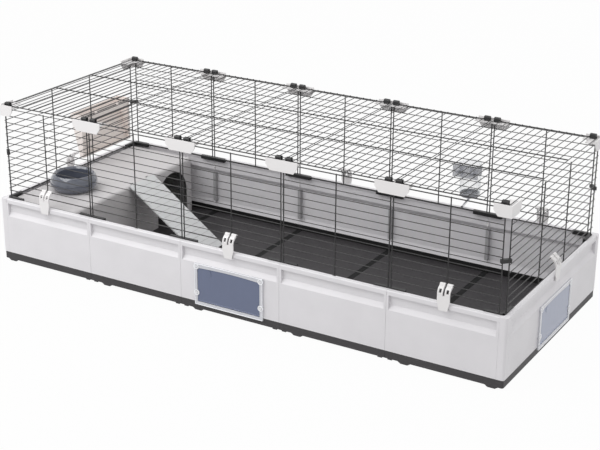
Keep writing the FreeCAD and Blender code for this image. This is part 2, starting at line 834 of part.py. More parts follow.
def make_corner_clips():
    """Black clips half way up the corners, across the two stays that meet there."""
    body = new_body("corner_clips")
    x_mid = "(half_length - stay_inset - corner_step / 2)"
    y_mid = "(half_depth - stay_inset - corner_step / 2)"
    along = "corner_clip_length / 2 * cos(corner_clip_turn)"
    across = "corner_clip_width / 2 * cos(corner_clip_turn)"
    level = "first_rung + (rung_count - 2) / 2 * rung_pitch - corner_clip_height / 2"
    sketch = new_sketch(body, "clip_outline", "XY_Plane", level)
    signs = (("+", "+", "-"), ("+", "-", "+"), ("-", "-", "+"), ("-", "+", "-"))
    add_outline(sketch, [
        ("%s %s %s %s %s" % (x_mid, long, along, wide_x, across),
         "-(%s) %s %s %s %s" % (y_mid, long, along, wide_y, across))
        for long, wide_x, wide_y in signs
    ])
    socket = "stay_diameter / 2 + socket_clearance"
    add_circle(sketch, "half_length - stay_inset - corner_step", "stay_inset - half_depth", socket)
    add_circle(sketch, "half_length - stay_inset", "-end_reach", socket)
    add_pad(body, "clip", sketch, "corner_clip_height")
    mirrored(body, "left_clips", "YZ_Plane")
    mirrored(body, "back_clips", "XZ_Plane")
    return body


def make_clip(label):
    """Two-hook clip drawn about the rung it turns on, with its outside towards -Y.

    Two arms with windows curve from hooks over the rung to a plate outside the rim. The
    plate narrows to a lip that reaches under the rim's skirt and clears it as it swings.
    """
    body = new_body(label)
    plate_in = "(-rung_inset - clip_standoff)"
    plate_out = "(-rung_inset - clip_standoff - clip_thickness)"
    lip_top = "(rim_top - rim_skirt - clip_lip_drop - clip_axis)"
    plate = [
        (plate_out, "-clip_arm_drop"),
        (plate_out, lip_top + " - clip_thickness"),
        (plate_in + " + clip_lip_reach", lip_top + " - clip_thickness"),
        (plate_in + " + clip_lip_reach", lip_top),
        (plate_in, lip_top),
        (plate_in, "-clip_arm_drop"),
    ]
    padded(body, "plate", "YZ_Plane", plate, "clip_width", symmetric=True)
    bore = "(rung_diameter / 2 + hinge_clearance)"
    foot = "-clip_arm_drop - clip_thickness"
    hook = [
        ("-clip_loop_radius", "0", "-clip_loop_radius"),
        ("0", "clip_loop_radius", "-clip_loop_radius"),
        ("clip_loop_radius", "0", "-clip_loop_radius"),
        ("clip_loop_radius * cos(clip_tip_angle)", "-clip_loop_radius * sin(clip_tip_angle)"),
        (bore + " * cos(clip_tip_angle)", "-%s * sin(clip_tip_angle)" % bore, bore),
        (bore, "0", bore),
        ("0", bore, bore),
        ("-" + bore, "0"),
        ("-" + bore, "-clip_loop_radius", "clip_arm_bend - clip_thickness"),
        (plate_in, "-clip_arm_drop"),
        (plate_in, foot),
        (plate_out, foot),
        (plate_out, "-clip_arm_drop", "-clip_arm_bend"),
    ]
    padded(body, "hooks", "YZ_Plane", hook, "clip_width", symmetric=True)
    half_gap = "(clip_width / 2 - clip_arm_width)"
    gap = box_points(("-" + half_gap, "-clip_arm_drop"), (half_gap, "clip_loop_radius + overrun"))
    pocketed(body, "gap", "XZ_Plane", gap, "4 * rung_inset", symmetric=True)
    foot_level = lip_top + " - clip_thickness - overrun"
    for side, sign in (("left", "-"), ("right", "")):
        middle = "%s(clip_width / 2 - clip_arm_width / 2)" % sign
        window = box_points((middle + " - clip_window_width / 2", "-clip_window_foot"),
                            (middle + " + clip_window_width / 2", "-clip_window_top"))
        pocketed(body, side + "_window", "XZ_Plane", window, "4 * rung_inset", symmetric=True)
        edge = "%s(clip_width / 2)" % sign
        outside = "%s(clip_width / 2 + overrun)" % sign
        taper = [
            (edge, "-clip_taper_start"),
            (outside, "-clip_taper_start"),
            (outside, foot_level),
            ("%s(clip_width / 2 - clip_taper)" % sign, foot_level),
        ]
        pocketed(body, side + "_taper", "XZ_Plane", taper, "4 * rung_inset", symmetric=True)
    return body


def lug_places():
    """Places of the four screws that hold a door frame, across and up."""
    across = "(door_width / 2 - lug_inset)"
    low = "(floor_top - door_drop + lug_low_rise)"
    high = "(floor_top - door_drop + door_height - lug_top_drop)"
    return [("-" + across, low), (across, low), ("-" + across, high), (across, high)]


def hinge_height():
    """Height of the flap's pivots above the ground."""
    return "(floor_top - door_drop + door_foot_rail + barrel_radius + barrel_clearance)"


def arched_box(half, low, high):
    """Rectangle whose top edge is a shallow arc that rises to the middle."""
    return [("-" + half, low), (half, low), (half, high, "door_head_bend"), ("-" + half, high)]


def make_door_frame(label):
    """Clear door frame drawn in front of the wall face Y = 0, with four screw lugs."""
    body = new_body(label)
    half = "(door_width / 2)"
    low = "(floor_top - door_drop)"
    high = "(floor_top - door_drop + door_height)"
    sketch = new_sketch(body, "ring_outline", "XZ_Plane")
    add_outline(sketch, box_points(("-" + half, low), (half, high)))
    add_outline(sketch, arched_box("(%s - door_rail)" % half, low + " + door_foot_rail",
                                   high + " - door_head_rail"))
    add_pad(body, "ring", sketch, "door_thickness")
    lugs = new_sketch(body, "lug_outlines", "XZ_Plane")
    for across, up in lug_places():
        add_circle(lugs, across, up, "lug_radius")
    add_pad(body, "lugs", lugs, "door_thickness")
    holes = new_sketch(body, "hole_outlines", "XZ_Plane")
    for across, up in lug_places():
        add_circle(holes, across, up, "screw_radius + socket_clearance")
    add_pocket(body, "holes", holes, "2 * (door_thickness + overrun)", symmetric=True)
    pivots = new_sketch(body, "pivot_outline", "YZ_Plane")
    add_circle(pivots, "-door_thickness / 2", hinge_height(), "trunnion_radius + hinge_clearance")
    reach = "2 * (door_width / 2 - door_rail - flap_clearance + trunnion_length + rest_gap)"
    add_pocket(body, "pivots", pivots, reach, symmetric=True)
    return body


def make_door_flap(label):
    """Clear flap that drops outwards on two trunnions at its foot."""
    body = new_body(label)
    half = "(door_width / 2 - door_rail - flap_clearance)"
    axis = hinge_height()
    top = "(floor_top - door_drop + door_height - door_head_rail - flap_clearance)"
    back = "(door_thickness / 2 - flap_thickness / 2)"
    padded(body, "pane", "XZ_Plane", arched_box(half, axis, top), "flap_thickness", back)
    tab = new_sketch(body, "tab_outline", "XZ_Plane", back)
    add_circle(tab, "-tab_shift", top + " - tab_radius", "tab_radius")
    add_pad(body, "tab", tab, "flap_thickness + tab_thickness")
    notches = new_sketch(body, "notch_outlines", "XZ_Plane")
    for across, up in lug_places():
        add_circle(notches, across, up, "lug_radius + flap_clearance")
    add_pocket(body, "notches", notches, "2 * (door_thickness + overrun)", symmetric=True)
    barrel = new_sketch(body, "barrel_outline", "YZ_Plane")
    add_circle(barrel, "-door_thickness / 2", axis, "barrel_radius")
    add_pad(body, "barrel", barrel, "2 * " + half, symmetric=True)
    trunnion = new_sketch(body, "trunnion_outline", "YZ_Plane")
    add_circle(trunnion, "-door_thickness / 2", axis, "trunnion_radius")
    add_pad(body, "trunnions", trunnion, "2 * (%s + trunnion_length)" % half, symmetric=True)
    return body


def make_screws():
    """Pan-head screws through the lugs of both door frames."""
    bodies = []
    for name in ("front_screws", "right_screws"):
        body = new_body(name)
        heads = new_sketch(body, "head_outlines", "XZ_Plane", "door_thickness")
        shanks = new_sketch(body, "shank_outlines", "XZ_Plane", "-wall_thickness")
        for across, up in lug_places():
            add_circle(heads, across, up, "screw_head_radius")
            add_circle(shanks, across, up, "screw_radius")
        add_pad(body, "heads", heads, "screw_head_height")
        add_pad(body, "shanks", shanks, "wall_thickness + door_thickness + screw_head_height / 2")
        bodies.append(body)
    place(bodies[0], y="-half_depth")
    place(bodies[1], x="half_length", turn=1)
    return grouped("door_screws", bodies)


def round_edges(body, name, radius, test):
    """Round the edges of a body that pass a test."""
    doc.recompute()
    base = body.Tip
    names = ["Edge%d" % (i + 1) for i, edge in enumerate(base.Shape.Edges) if test(edge)]
    fillet = body.newObject("PartDesign::Fillet", name)
    fillet.Base = (base, names)
    bind(fillet, "Radius", radius)
    return fillet


def house_block(label, inset, low):
    """House as a full block with big rounds at its front and ends, inset but at its foot."""
    body = new_body(label)
    back = "(house_back + %s)" % inset
    front = "(loft_edge - %s)" % inset
    top = "(loft_top - %s)" % inset
    bend = "(house_edge_radius - %s)" % inset
    half = "(house_width / 2 - %s)" % inset
    profile = [
        (back, low),
        (front, low),
        (front, "%s - %s" % (top, bend), bend),
        ("%s - %s" % (front, bend), top),
        (back, top),
    ]
    padded(body, "block", "XZ_Plane", profile, "2 * " + half, symmetric=True)

    def turns_the_end(edge):
        """True for an edge of an end face, up its front and along its top."""
        spots = [vertex.Point for vertex in edge.Vertexes]
        at_end = abs(spots[0].y - spots[-1].y) < value("rest_gap")
        climbs = max(spot.z for spot in spots) > value(low + " + rest_gap")
        leaves = max(spot.x for spot in spots) > value(back + " + rest_gap")
        return at_end and climbs and leaves

    round_edges(body, "ends", "house_corner_radius - %s" % inset, turns_the_end)
    return body


def make_house():
    """House shell, open below, with an arched way in and two rods for the ramp's hooks."""
    outer = house_block("house_outer", "0", "basin_floor")
    inner = house_block("house_inner", "house_thickness", "basin_floor - overrun")
    cuts = new_body("house_openings")
    radius = "(arch_width / 2)"
    spring = "(basin_floor + arch_spring_height)"
    outline = [
        ("arch_shift - " + radius, "basin_floor - overrun"),
        ("arch_shift + " + radius, "basin_floor - overrun"),
        ("arch_shift + " + radius, spring, radius),
        ("arch_shift", "%s + %s" % (spring, radius), radius),
        ("arch_shift - " + radius, spring),
    ]
    padded(cuts, "way_in", "YZ_Plane", outline, "house_top_length", "loft_edge - house_top_length / 2")
    reach = "(ramp_hook_radius + bay_margin)"
    rods = new_body("house_rods")
    for side, sign in (("near", "-"), ("far", "+")):
        middle = "(ramp_shift %s ramp_hook_spacing / 2)" % sign
        width = "(ramp_hook_width / 2 + bay_margin)"
        slot = box_points(("rod_x - " + reach, "%s - %s" % (middle, width)),
                          ("rod_x + " + reach, "%s + %s" % (middle, width)))
        padded(cuts, side + "_slot", "XY_Plane", slot, "loft_top + overrun - rod_z + " + reach, "rod_z - " + reach)
        end = "-%s - %s - 2 * bay_margin" % (middle, width)
        sketch = new_sketch(rods, side + "_rod_outline", "XZ_Plane", end)
        add_circle(sketch, "rod_x", "rod_z", "rod_radius")
        add_pad(rods, side + "_rod", sketch, "2 * (%s + 2 * bay_margin)" % width)
    hollow = doc.addObject("Part::Cut", "house_shell")
    hollow.Base = outer
    hollow.Tool = inner
    opened = doc.addObject("Part::Cut", "house_opened")
    opened.Base = hollow
    opened.Tool = cuts
    house = doc.addObject("Part::MultiFuse", "loft_house")
    house.Label = "loft_house"
    house.Shapes = [opened, rods]
    return house


def make_ramp():
    """Grooved ramp drawn flat from the rods it hangs on, then tipped to its slope."""
    body = new_body("ramp")
    over = "(ramp_lift + ramp_thickness)"
    fall = "(rod_z - basin_floor - rest_gap + ramp_lift * cos(ramp_angle))"
    length = "(%s / sin(ramp_angle))" % fall
    padded(body, "board", "XZ_Plane", box_points(("ramp_start", "ramp_lift"), (length, over)), "ramp_width",
           symmetric=True)
    tip = "-ramp_bore * sin(ramp_hook_angle)"
    hook = [
        ("ramp_bore * cos(ramp_hook_angle)", tip),
        ("ramp_neck", tip),
        ("ramp_neck", "ramp_lift + weld_depth"),
        ("0", "ramp_hook_radius", "ramp_hook_radius"),
        ("-ramp_hook_radius * cos(ramp_hook_angle)", "-ramp_hook_radius * sin(ramp_hook_angle)"),
        ("-ramp_bore * cos(ramp_hook_angle)", tip, "-ramp_bore"),
        ("0", "ramp_bore", "-ramp_bore"),
    ]
    for side, sign in (("near", "-"), ("far", "+")):
        offset = "-(0 %s ramp_hook_spacing / 2) - ramp_hook_width / 2" % sign
        padded(body, side + "_hook", "XZ_Plane", hook, "ramp_hook_width", offset)
    pitch = "((%s - ramp_start) / (groove_count + 1))" % length
    groove = new_sketch(body, "groove_outline", "XZ_Plane")
    add_outline(groove, box_points(
        ("ramp_start + %s - groove_width / 2" % pitch, over + " - groove_depth"),
        ("ramp_start + %s + groove_width / 2" % pitch, over + " + overrun")))
    first = add_pocket(body, "groove", groove, "ramp_width + overrun", symmetric=True)
    row_of(body, "grooves", first, groove, "H_Axis", "%s * (groove_count - 1)" % pitch, "groove_count")
    tilt = FreeCAD.Rotation(FreeCAD.Vector(0, 1, 0), value("ramp_angle"))
    body.Placement = FreeCAD.Placement(FreeCAD.Vector(), tilt)
    bind(body, "Placement.Base.x", "rod_x")
    bind(body, "Placement.Base.y", "ramp_shift")
    bind(body, "Placement.Base.z", "rod_z")
    bind(body, "Placement.Rotation.Angle", "ramp_angle")
    return body


def turned(label, points):
    """Body turned about the Z axis from an outline in the XZ plane."""
    body = new_body(label)
    sketch = new_sketch(body, label + "_outline", "XZ_Plane")
    add_outline(sketch, points)
    turn = body.newObject("PartDesign::Revolution", label + "_turning")
    turn.Profile = sketch
    turn.ReferenceAxis = (sketch, ["V_Axis"])
    turn.Angle = 360
    return body


def make_bowl():
    """Squat bowl with a round belly, an in-turned rim and an open well."""
    body = turned("bowl", [
        ("0", "0"),
        ("bowl_foot_radius", "0", "bowl_low_bend"),
        ("bowl_belly_radius", "bowl_belly_height", "bowl_high_bend"),
        ("bowl_rim_radius", "bowl_height"),
        ("bowl_rim_radius - bowl_rim_thickness", "bowl_height"),
        ("bowl_well_radius", "bowl_height - 2 * bowl_rim_thickness"),
        ("bowl_well_radius - bowl_rim_thickness", "bowl_floor + bowl_rim_thickness"),
        ("bowl_well_radius - 2 * bowl_rim_thickness", "bowl_floor"),
        ("0", "bowl_floor"),
    ])
    place(body, "loft_edge - bowl_from_edge", "-bowl_shift_front", "loft_top + rest_gap")
    return body


def rung_height(index):
    """Height of a side panel's rung, counted from 0 at the foot."""
    return "(first_rung + %s * rung_pitch)" % index


def make_hooks(body, spacing, level, span):
    """Pair of hooks from the face Y = 0 towards +Y over a rung, a span away."""
    points = [
        ("-weld_depth", level),
        (span + " + hook_thickness", level),
        (span + " + hook_thickness", level + " - hook_thickness - hook_drop"),
        (span, level + " - hook_thickness - hook_drop"),
        (span, level + " - hook_thickness"),
        ("-weld_depth", level + " - hook_thickness"),
    ]
    sketch = new_sketch(body, "hook_outline", "YZ_Plane", "-%s / 2 - hook_width / 2" % spacing)
    add_outline(sketch, points)
    pad = add_pad(body, "hook", sketch, "hook_width")
    row = new_sketch(body, "hook_row", "XY_Plane")
    row_of(body, "hooks", pad, row, "H_Axis", spacing, "2")


def hook_top(rung):
    """Height of the top of a hook that hangs over a rung."""
    return "(%s + rung_diameter / 2 + rest_gap + hook_thickness)" % rung_height(rung)


def make_rack():
    """Wedge of a hay box, open above and to the wires, drawn with its back on Y = 0.

    It hangs outside the left panel by hooks on a band along its upper edge.
    """
    body = new_body("hay_rack")
    level = hook_top("rack_rung")
    top = "(%s + rack_top_rise)" % level
    low = "(%s - rack_height)" % top
    half = "(rack_length / 2)"
    wedge = [("0", low), ("0", top), ("-rack_depth", top), ("-rack_foot_depth", low)]
    padded(body, "box", "YZ_Plane", wedge, "rack_length", symmetric=True)
    floor = low + " + rack_wall"
    hollow = [
        ("-rack_wall", floor),
        ("-rack_wall", top + " + overrun"),
        ("rack_wall - rack_depth", top + " + overrun"),
        ("rack_wall - rack_depth", top),
        ("rack_wall - rack_foot_depth", floor),
    ]
    pocketed(body, "hollow", "YZ_Plane", hollow, "rack_length - 2 * rack_wall", symmetric=True)
    window = box_points(("rack_border - " + half, low + " + rack_border"), (half + " - rack_border", top + " - rack_band"))
    pocketed(body, "window", "XZ_Plane", window, "4 * rack_wall", symmetric=True)
    make_hooks(body, "rack_hook_spacing", level, "(2 * rest_gap + (first_rung_diameter + rung_diameter) / 2)")
    # The box lies outside the rungs, just clear of the thick first one.
    place(body, "rung_inset - first_rung_diameter / 2 - rest_gap - half_length", "rack_shift", turn=3)
    return body


def make_bottle():
    """Clear bottle hung mouth down, its cap, its bent spout and the holder."""
    low = "first_rung"
    x = "(bay_pitch * (bay_count / 2 - 1) - bottle_setback)"
    y = "(half_depth + bottle_standoff)"
    cap_top = "(first_rung + cap_height)"
    mouth = "(first_rung + cap_floor + rest_gap)"
    base = "(first_rung + cap_height + rest_gap)"
    top = "(first_rung + cap_height + bottle_length)"
    inner = "(bottle_radius - bottle_wall)"
    neck = "(bottle_neck_radius - bottle_wall)"
    bottle = turned("bottle", [
        (neck, mouth),
        ("bottle_neck_radius", mouth),
        ("bottle_neck_radius", base),
        ("bottle_radius - bottle_shoulder", base, "bottle_shoulder"),
        ("bottle_radius", base + " + bottle_shoulder"),
        ("bottle_radius", top + " - bottle_crown", "bottle_crown"),
        ("bottle_radius - bottle_crown", top),
        ("0", top),
        ("0", top + " - bottle_wall"),
        ("bottle_radius - bottle_crown", top + " - bottle_wall", "-(bottle_crown - bottle_wall)"),
        (inner, top + " - bottle_crown"),
        (inner, base + " + bottle_shoulder", "-(bottle_shoulder - bottle_wall)"),
        ("bottle_radius - bottle_shoulder", base + " + bottle_wall"),
        (neck, base + " + bottle_wall"),
    ])
    seat = "(bottle_neck_radius + rest_gap)"
    hole = "(spout_radius + socket_clearance)"
    cap = turned("bottle_cap", [
        (hole, low),
        ("cap_radius - bottle_wall", low),
        ("cap_radius", low + " + bottle_wall"),
        ("cap_radius", cap_top),
        (seat, cap_top),
        (seat, low + " + cap_floor"),
        (hole, low + " + cap_floor"),
    ])
    spout = make_spout(low)
    for piece in (bottle, cap, spout):
        place(piece, x, y)
    holder = make_holder()
    place(holder, x, "half_depth - rung_inset + rung_diameter / 2 + rest_gap", turn=2)
    return [bottle, cap, spout, holder]


def make_spout(low):
    """Bent steel drinking tube from the cap through the wires into the pen."""
    body = new_body("drinking_spout")
    path = new_sketch(body, "spout_path", "YZ_Plane")
    head = low + " + cap_floor"
    foot = low + " - spout_drop"
    turn = math.radians(value("spout_angle"))
    bend = value("spout_bend")
    top = FreeCAD.Vector(0, value(head), 0)
    knee = FreeCAD.Vector(0, value(foot), 0)
    after = knee + FreeCAD.Vector(-bend * (1 - math.cos(turn)), -bend * math.sin(turn), 0)
    tip = after + FreeCAD.Vector(-math.sin(turn), -math.cos(turn), 0) * value("spout_reach")
    path.addGeometry(Part.LineSegment(top, knee), False)
    path.addGeometry(arc_between(knee, after, -bend), False)
    path.addGeometry(Part.LineSegment(after, tip), False)
    path.addConstraint(Sketcher.Constraint("Coincident", 0, 2, 1, 2))
    path.addConstraint(Sketcher.Constraint("Coincident", 1, 1, 2, 1))
    after_y = "-spout_bend * (1 - cos(spout_angle))"
    after_z = foot + " - spout_bend * sin(spout_angle)"
    pin(path, 0, 1, "0", head)
    pin(path, 0, 2, "0", foot)
    pin(path, 2, 1, after_y, after_z)
    pin(path, 2, 2, after_y + " - spout_reach * sin(spout_angle)",
        after_z + " - spout_reach * cos(spout_angle)")
    index = path.addConstraint(Sketcher.Constraint("Radius", 1, bend))
    path.setExpression("Constraints[%d]" % index, bound("spout_bend"))
    ring = new_sketch(body, "spout_section", "XY_Plane", head)
    add_circle(ring, "0", "0", "spout_radius")
    add_circle(ring, "0", "0", "spout_bore")
    pipe = body.newObject("PartDesign::AdditivePipe", "tube")
    pipe.Profile = ring
    pipe.Spine = path
    return body


def make_holder():
    """Bottle holder: a plate on the rungs, two hooks over one, and a half ring in front."""
    body = new_body("bottle_holder")
    rung = rung_height("holder_rung")
    half = "(holder_length / 2)"
    low = "(%s - holder_fall)" % rung
    plate = box_points(("-" + half, low), (half, low + " + holder_height"))
    padded(body, "plate", "XZ_Plane", plate, "holder_thickness")
    middle = "(-bottle_standoff - rung_inset + rung_diameter / 2 + rest_gap)"
    inner = "(bottle_radius + holder_fit)"
    outer = "(bottle_radius + holder_fit + holder_thickness)"
    ring_low = "%s + (holder_height - holder_band) / 2" % low
    ring = [
        (outer, middle, outer),
        ("0", "%s + %s" % (middle, outer), outer),
        ("-" + outer, middle),
        ("-" + inner, middle, "-" + inner),
        ("0", "%s + %s" % (middle, inner), "-" + inner),
        (inner, middle),
    ]
    padded(body, "ring", "XY_Plane", ring, "holder_band", ring_low)
    web = box_points(("-holder_web / 2", "%s + %s - holder_thickness / 2" % (middle, outer)),
                     ("holder_web / 2", "-holder_thickness / 2"))
    padded(body, "web", "XY_Plane", web, "holder_band", ring_low)
    make_hooks(body, "holder_hook_spacing", hook_top("holder_rung"), "(2 * rest_gap + rung_diameter)")
    return body


def grille_reaches(bay):
    """Reach of a front grille from the middle of its bay, to the left and right."""
    return ("corner_reach" if bay == 1 else "bay_reach",
            "corner_reach" if bay == SIZES["bay_count"] else "bay_reach")


def roof_reaches(bay):
    """Reach of a roof grille from the middle of its bay, to the left and right."""
    return ("roof_corner_reach" if bay == 1 else "bay_reach",
            "roof_corner_reach" if bay == SIZES["bay_count"] else "bay_reach")


def make_bay(bay):
    """Tray, walls, grilles and roof of one bay, counted from 1 at the left."""
    is_last = bay == SIZES["bay_count"]
    is_end = bay == 1 or is_last
    has_door = bay == (SIZES["bay_count"] + 1) // 2
    has_notch = not is_end and not has_door
    centre = bay_centre(bay)
    tray = make_tray("floor_tray_%d" % bay, is_end)
    place(tray, centre, turn=2 if is_last else 0)
    length = "(bay_pitch - seam_gap)"
    middle = centre
    if is_end:
        short = "(post_size - corner_margin)"
        length = "(bay_pitch - %s - seam_gap)" % short
        middle = "(%s %s %s / 2)" % (centre, "+" if bay == 1 else "-", short)
    front_wall = make_wall("front_wall_%d" % bay, length, has_door, has_notch)
    place(front_wall, middle, "-half_depth")
    back_wall = make_wall("back_wall_%d" % bay, length, has_notch=has_notch)
    place(back_wall, middle, "half_depth", turn=2)
    left, right = grille_reaches(bay)
    front_grille = make_side_grille("front_grille_%d" % bay, left, right, ["0"])
    place(front_grille, centre, "rung_inset - half_depth")
    back_grille = make_side_grille("back_grille_%d" % bay, right, left, ["0"])
    place(back_grille, centre, "half_depth - rung_inset", turn=2)
    roof = make_roof_grille("roof_grille_%d" % bay, *roof_reaches(bay))
    place(roof, centre, "roof_reach", "roof_axis")
    return [tray, front_wall, back_wall, front_grille, back_grille, roof]


def make_ends():
    """Walls, grilles and clips at the two ends."""
    pieces = []
    length = "(pen_depth - 2 * post_size - seam_gap)"
    inner_stay = "end_stay_share * 2 * end_reach"
    for side, sign, turn in (("left", "-", 3), ("right", "", 1)):
        wall = make_wall(side + "_wall", length, has_door=side == "right")
        place(wall, sign + "half_length", turn=turn)
        middles = ["-" + inner_stay, inner_stay]
        grille = make_side_grille(side + "_grille", "end_reach", "end_reach", middles)
        place(grille, sign + "(half_length - rung_inset)", turn=turn)
        clip = make_clip(side + "_clip")
        place(clip, sign + "(half_length - rung_inset)", z="clip_axis", turn=turn)
        pieces += [wall, grille, clip]
    return pieces


def make_long_clips():
    """Clips along the front and back, in every other bay."""
    pieces = []
    for bay in range(1, SIZES["bay_count"] + 1, 2):
        for side, y, turn in (("front", "rung_inset - half_depth", 0), ("back", "half_depth - rung_inset", 2)):
            clip = make_clip("%s_clip_%d" % (side, bay))
            place(clip, bay_centre(bay), y, "clip_axis", turn)
            pieces.append(clip)
    return pieces


def make_doors():
    """Frame and flap of the front door and of the right door."""
    pieces = []
    for side, x, y, turn in (("front", "0", "-half_depth", 0), ("right", "half_length", "0", 1)):
        frame = make_door_frame(side + "_door_frame")
        flap = make_door_flap(side + "_door_flap")
        for piece in (frame, flap):
            place(piece, x, y, turn=turn)
        pieces += [frame, flap]
    return pieces


def main():
    """Build every sub-part, check it and write it to its own file."""
    nodes = []
    for bay in range(1, SIZES["bay_count"] + 1):
        nodes += make_bay(bay)
    nodes += make_ends() + make_long_clips() + make_doors()
    nodes += [make_posts(), make_connectors(), make_snaps(), make_joiners(), make_corner_clips()]
    nodes += [make_screws(), make_house(), make_ramp(), make_bowl(), make_rack()]
    nodes += make_bottle()
    doc.recompute()

    for item in doc.Objects:
        if "Invalid" in item.State or "Error" in item.State:
            raise RuntimeError("%s failed: %s" % (item.Label, item.State))
    for node in nodes:
        if node.Shape.isNull() or not node.Shape.isValid() or not node.Shape.Solids:
            raise RuntimeError("%s has no valid solid" % node.Label)
    os.makedirs("parts", exist_ok=True)
    for node in nodes:
        node.Shape.exportStep("parts/%s.step" % node.Label)
        box = node.Shape.optimalBoundingBox(False)
        print("%-18s %2d solids  X %.1f %.1f  Y %.1f %.1f  Z %.1f %.1f" % (
            node.Label, len(node.Shape.Solids), box.XMin, box.XMax, box.YMin, box.YMax, box.ZMin, box.ZMax))


main()
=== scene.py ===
"""Looks of a long modular pen for a small animal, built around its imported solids.

All lengths are metres in the frame of the solids: X along the pen, -Y to the front,
Z up, with the origin on the ground under the middle of the pen.
"""

import logging
import math
from dataclasses import dataclass
from enum import Enum
from typing import Any, Iterable, Sequence

import bmesh
import bpy
import numpy as np
from mathutils import Matrix, Vector


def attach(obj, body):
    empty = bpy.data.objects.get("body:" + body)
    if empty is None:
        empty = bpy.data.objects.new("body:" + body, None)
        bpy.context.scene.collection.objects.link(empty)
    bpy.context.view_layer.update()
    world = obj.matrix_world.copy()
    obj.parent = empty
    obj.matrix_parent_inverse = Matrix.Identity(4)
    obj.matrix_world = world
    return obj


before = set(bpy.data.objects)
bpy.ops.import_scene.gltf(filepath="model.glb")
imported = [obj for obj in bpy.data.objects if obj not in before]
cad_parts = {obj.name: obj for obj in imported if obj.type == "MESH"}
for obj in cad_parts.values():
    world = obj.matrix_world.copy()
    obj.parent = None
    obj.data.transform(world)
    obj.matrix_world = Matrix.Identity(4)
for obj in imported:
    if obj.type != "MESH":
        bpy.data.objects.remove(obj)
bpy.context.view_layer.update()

IMAGE_WIDTH_PX = 600
SENSOR_WIDTH_MM = 36.0
FULL_SCALE = 255.0
NOISE_MEAN = 0.5
CORNER_SAMPLES = 6
SKY_WHITE = (1.0, 1.0, 1.0, 1.0)
# A Mix node has sockets of the same names for each kind of value, so its colours go by number.
MIX_INPUTS = (0, 6, 7)
MIX_OUTPUT = 2
ROTATION_SIZE = 3
MERGE_DISTANCE = 1e-6
BAYS = (1, 2, 3, 4, 5)
MIDDLE_BAY = 3
BAY_PITCH = 0.350
HALF_LENGTH = 0.8875
HALF_DEPTH = 0.360
SEAMS = tuple((bay - MIDDLE_BAY) * BAY_PITCH + BAY_PITCH / 2 for bay in BAYS[:-1])
ALONG = np.array([1.0, 0.0, 0.0])
UP = np.array([0.0, 0.0, 1.0])

logging.basicConfig(level=logging.INFO, format="%(name)s: %(message)s")
log = logging.getLogger("pen")


class Side(Enum):
    """Side of the pen, as the direction that its wall faces."""

    FRONT = (0.0, -1.0)
    BACK = (0.0, 1.0)
    LEFT = (-1.0, 0.0)
    RIGHT = (1.0, 0.0)

    @property
    def outward(self) -> np.ndarray:
        """Unit vector out of the pen."""
        return np.array([self.value[0], self.value[1], 0.0])

    @property
    def along(self) -> np.ndarray:
        """Unit vector along the wall, so that along, outward and up are right-handed."""
        return np.cross(self.outward, UP)

    @property
    def reach(self) -> float:
        """Distance from the middle of the pen to the wall's outer face."""
        return HALF_LENGTH if self.value[0] else HALF_DEPTH

    @property
    def label(self) -> str:
        """The side's name as it stands in the names of the pieces."""
        return self.name.lower()


@dataclass(frozen=True)
class Colour:
    """Colour as it is seen on a screen, each part from 0 to 255."""

    red: float
    green: float
    blue: float

    def shaded(self, share: float) -> "Colour":
        """The same hue, darker or lighter by a share."""
        return Colour(*(min(part * share, FULL_SCALE) for part in (self.red, self.green, self.blue)))

    def linear(self) -> tuple[float, float, float, float]:
        """Scene-linear value of the colour, by the screen's own curve.

        Returns:
            Red, green, blue and a full alpha.
        """
        toe, slope, offset, power = 0.04045, 12.92, 0.055, 2.4
        seen = np.array([self.red, self.green, self.blue]) / FULL_SCALE
        curve = ((seen + offset) / (1 + offset)) ** power
        red, green, blue = np.where(seen <= toe, seen / slope, curve).tolist()
        return red, green, blue, 1.0


class Signal:
    """An output socket of a node, whose arithmetic adds Math nodes to its graph."""

    def __init__(self, graph: "Graph", socket: bpy.types.NodeSocket) -> None:
        """Wrap one socket of one graph."""
        self.graph = graph
        self.socket = socket

    def _math(self, operation: str, left: Any, right: Any) -> "Signal":
        """One Math node on two values, of which at least one is a signal."""
        return self.graph.node("ShaderNodeMath", {"operation": operation}, {0: left, 1: right})

    def __add__(self, other: Any) -> "Signal":
        """self + other"""
        return self._math("ADD", self, other)

    def __radd__(self, other: Any) -> "Signal":
        """other + self"""
        return self._math("ADD", other, self)

    def __sub__(self, other: Any) -> "Signal":
        """self - other"""
        return self._math("SUBTRACT", self, other)

    def __rsub__(self, other: Any) -> "Signal":
        """other - self"""
        return self._math("SUBTRACT", other, self)

    def __mul__(self, other: Any) -> "Signal":
        """self * other"""
        return self._math("MULTIPLY", self, other)

    def __rmul__(self, other: Any) -> "Signal":
        """other * self"""
        return self._math("MULTIPLY", other, self)

    def above(self, level: float, width: float) -> "Signal":
        """0 below a level and 1 above it, with a soft step between.

        Args:
            level: Middle of the step.
            width: Width of the step.

        Returns:
            The stepped signal.
        """
        settings = {"interpolation_type": "SMOOTHSTEP"}
        ends = {0: self, 1: level - width / 2, 2: level + width / 2}
        return self.graph.node("ShaderNodeMapRange", settings, ends)

    def highest(self, other: Any) -> "Signal":
        """The larger of two values."""
        return self._math("MAXIMUM", self, other)

    def unsigned(self) -> "Signal":
        """The value without its sign."""
        return self.highest(0 - self)


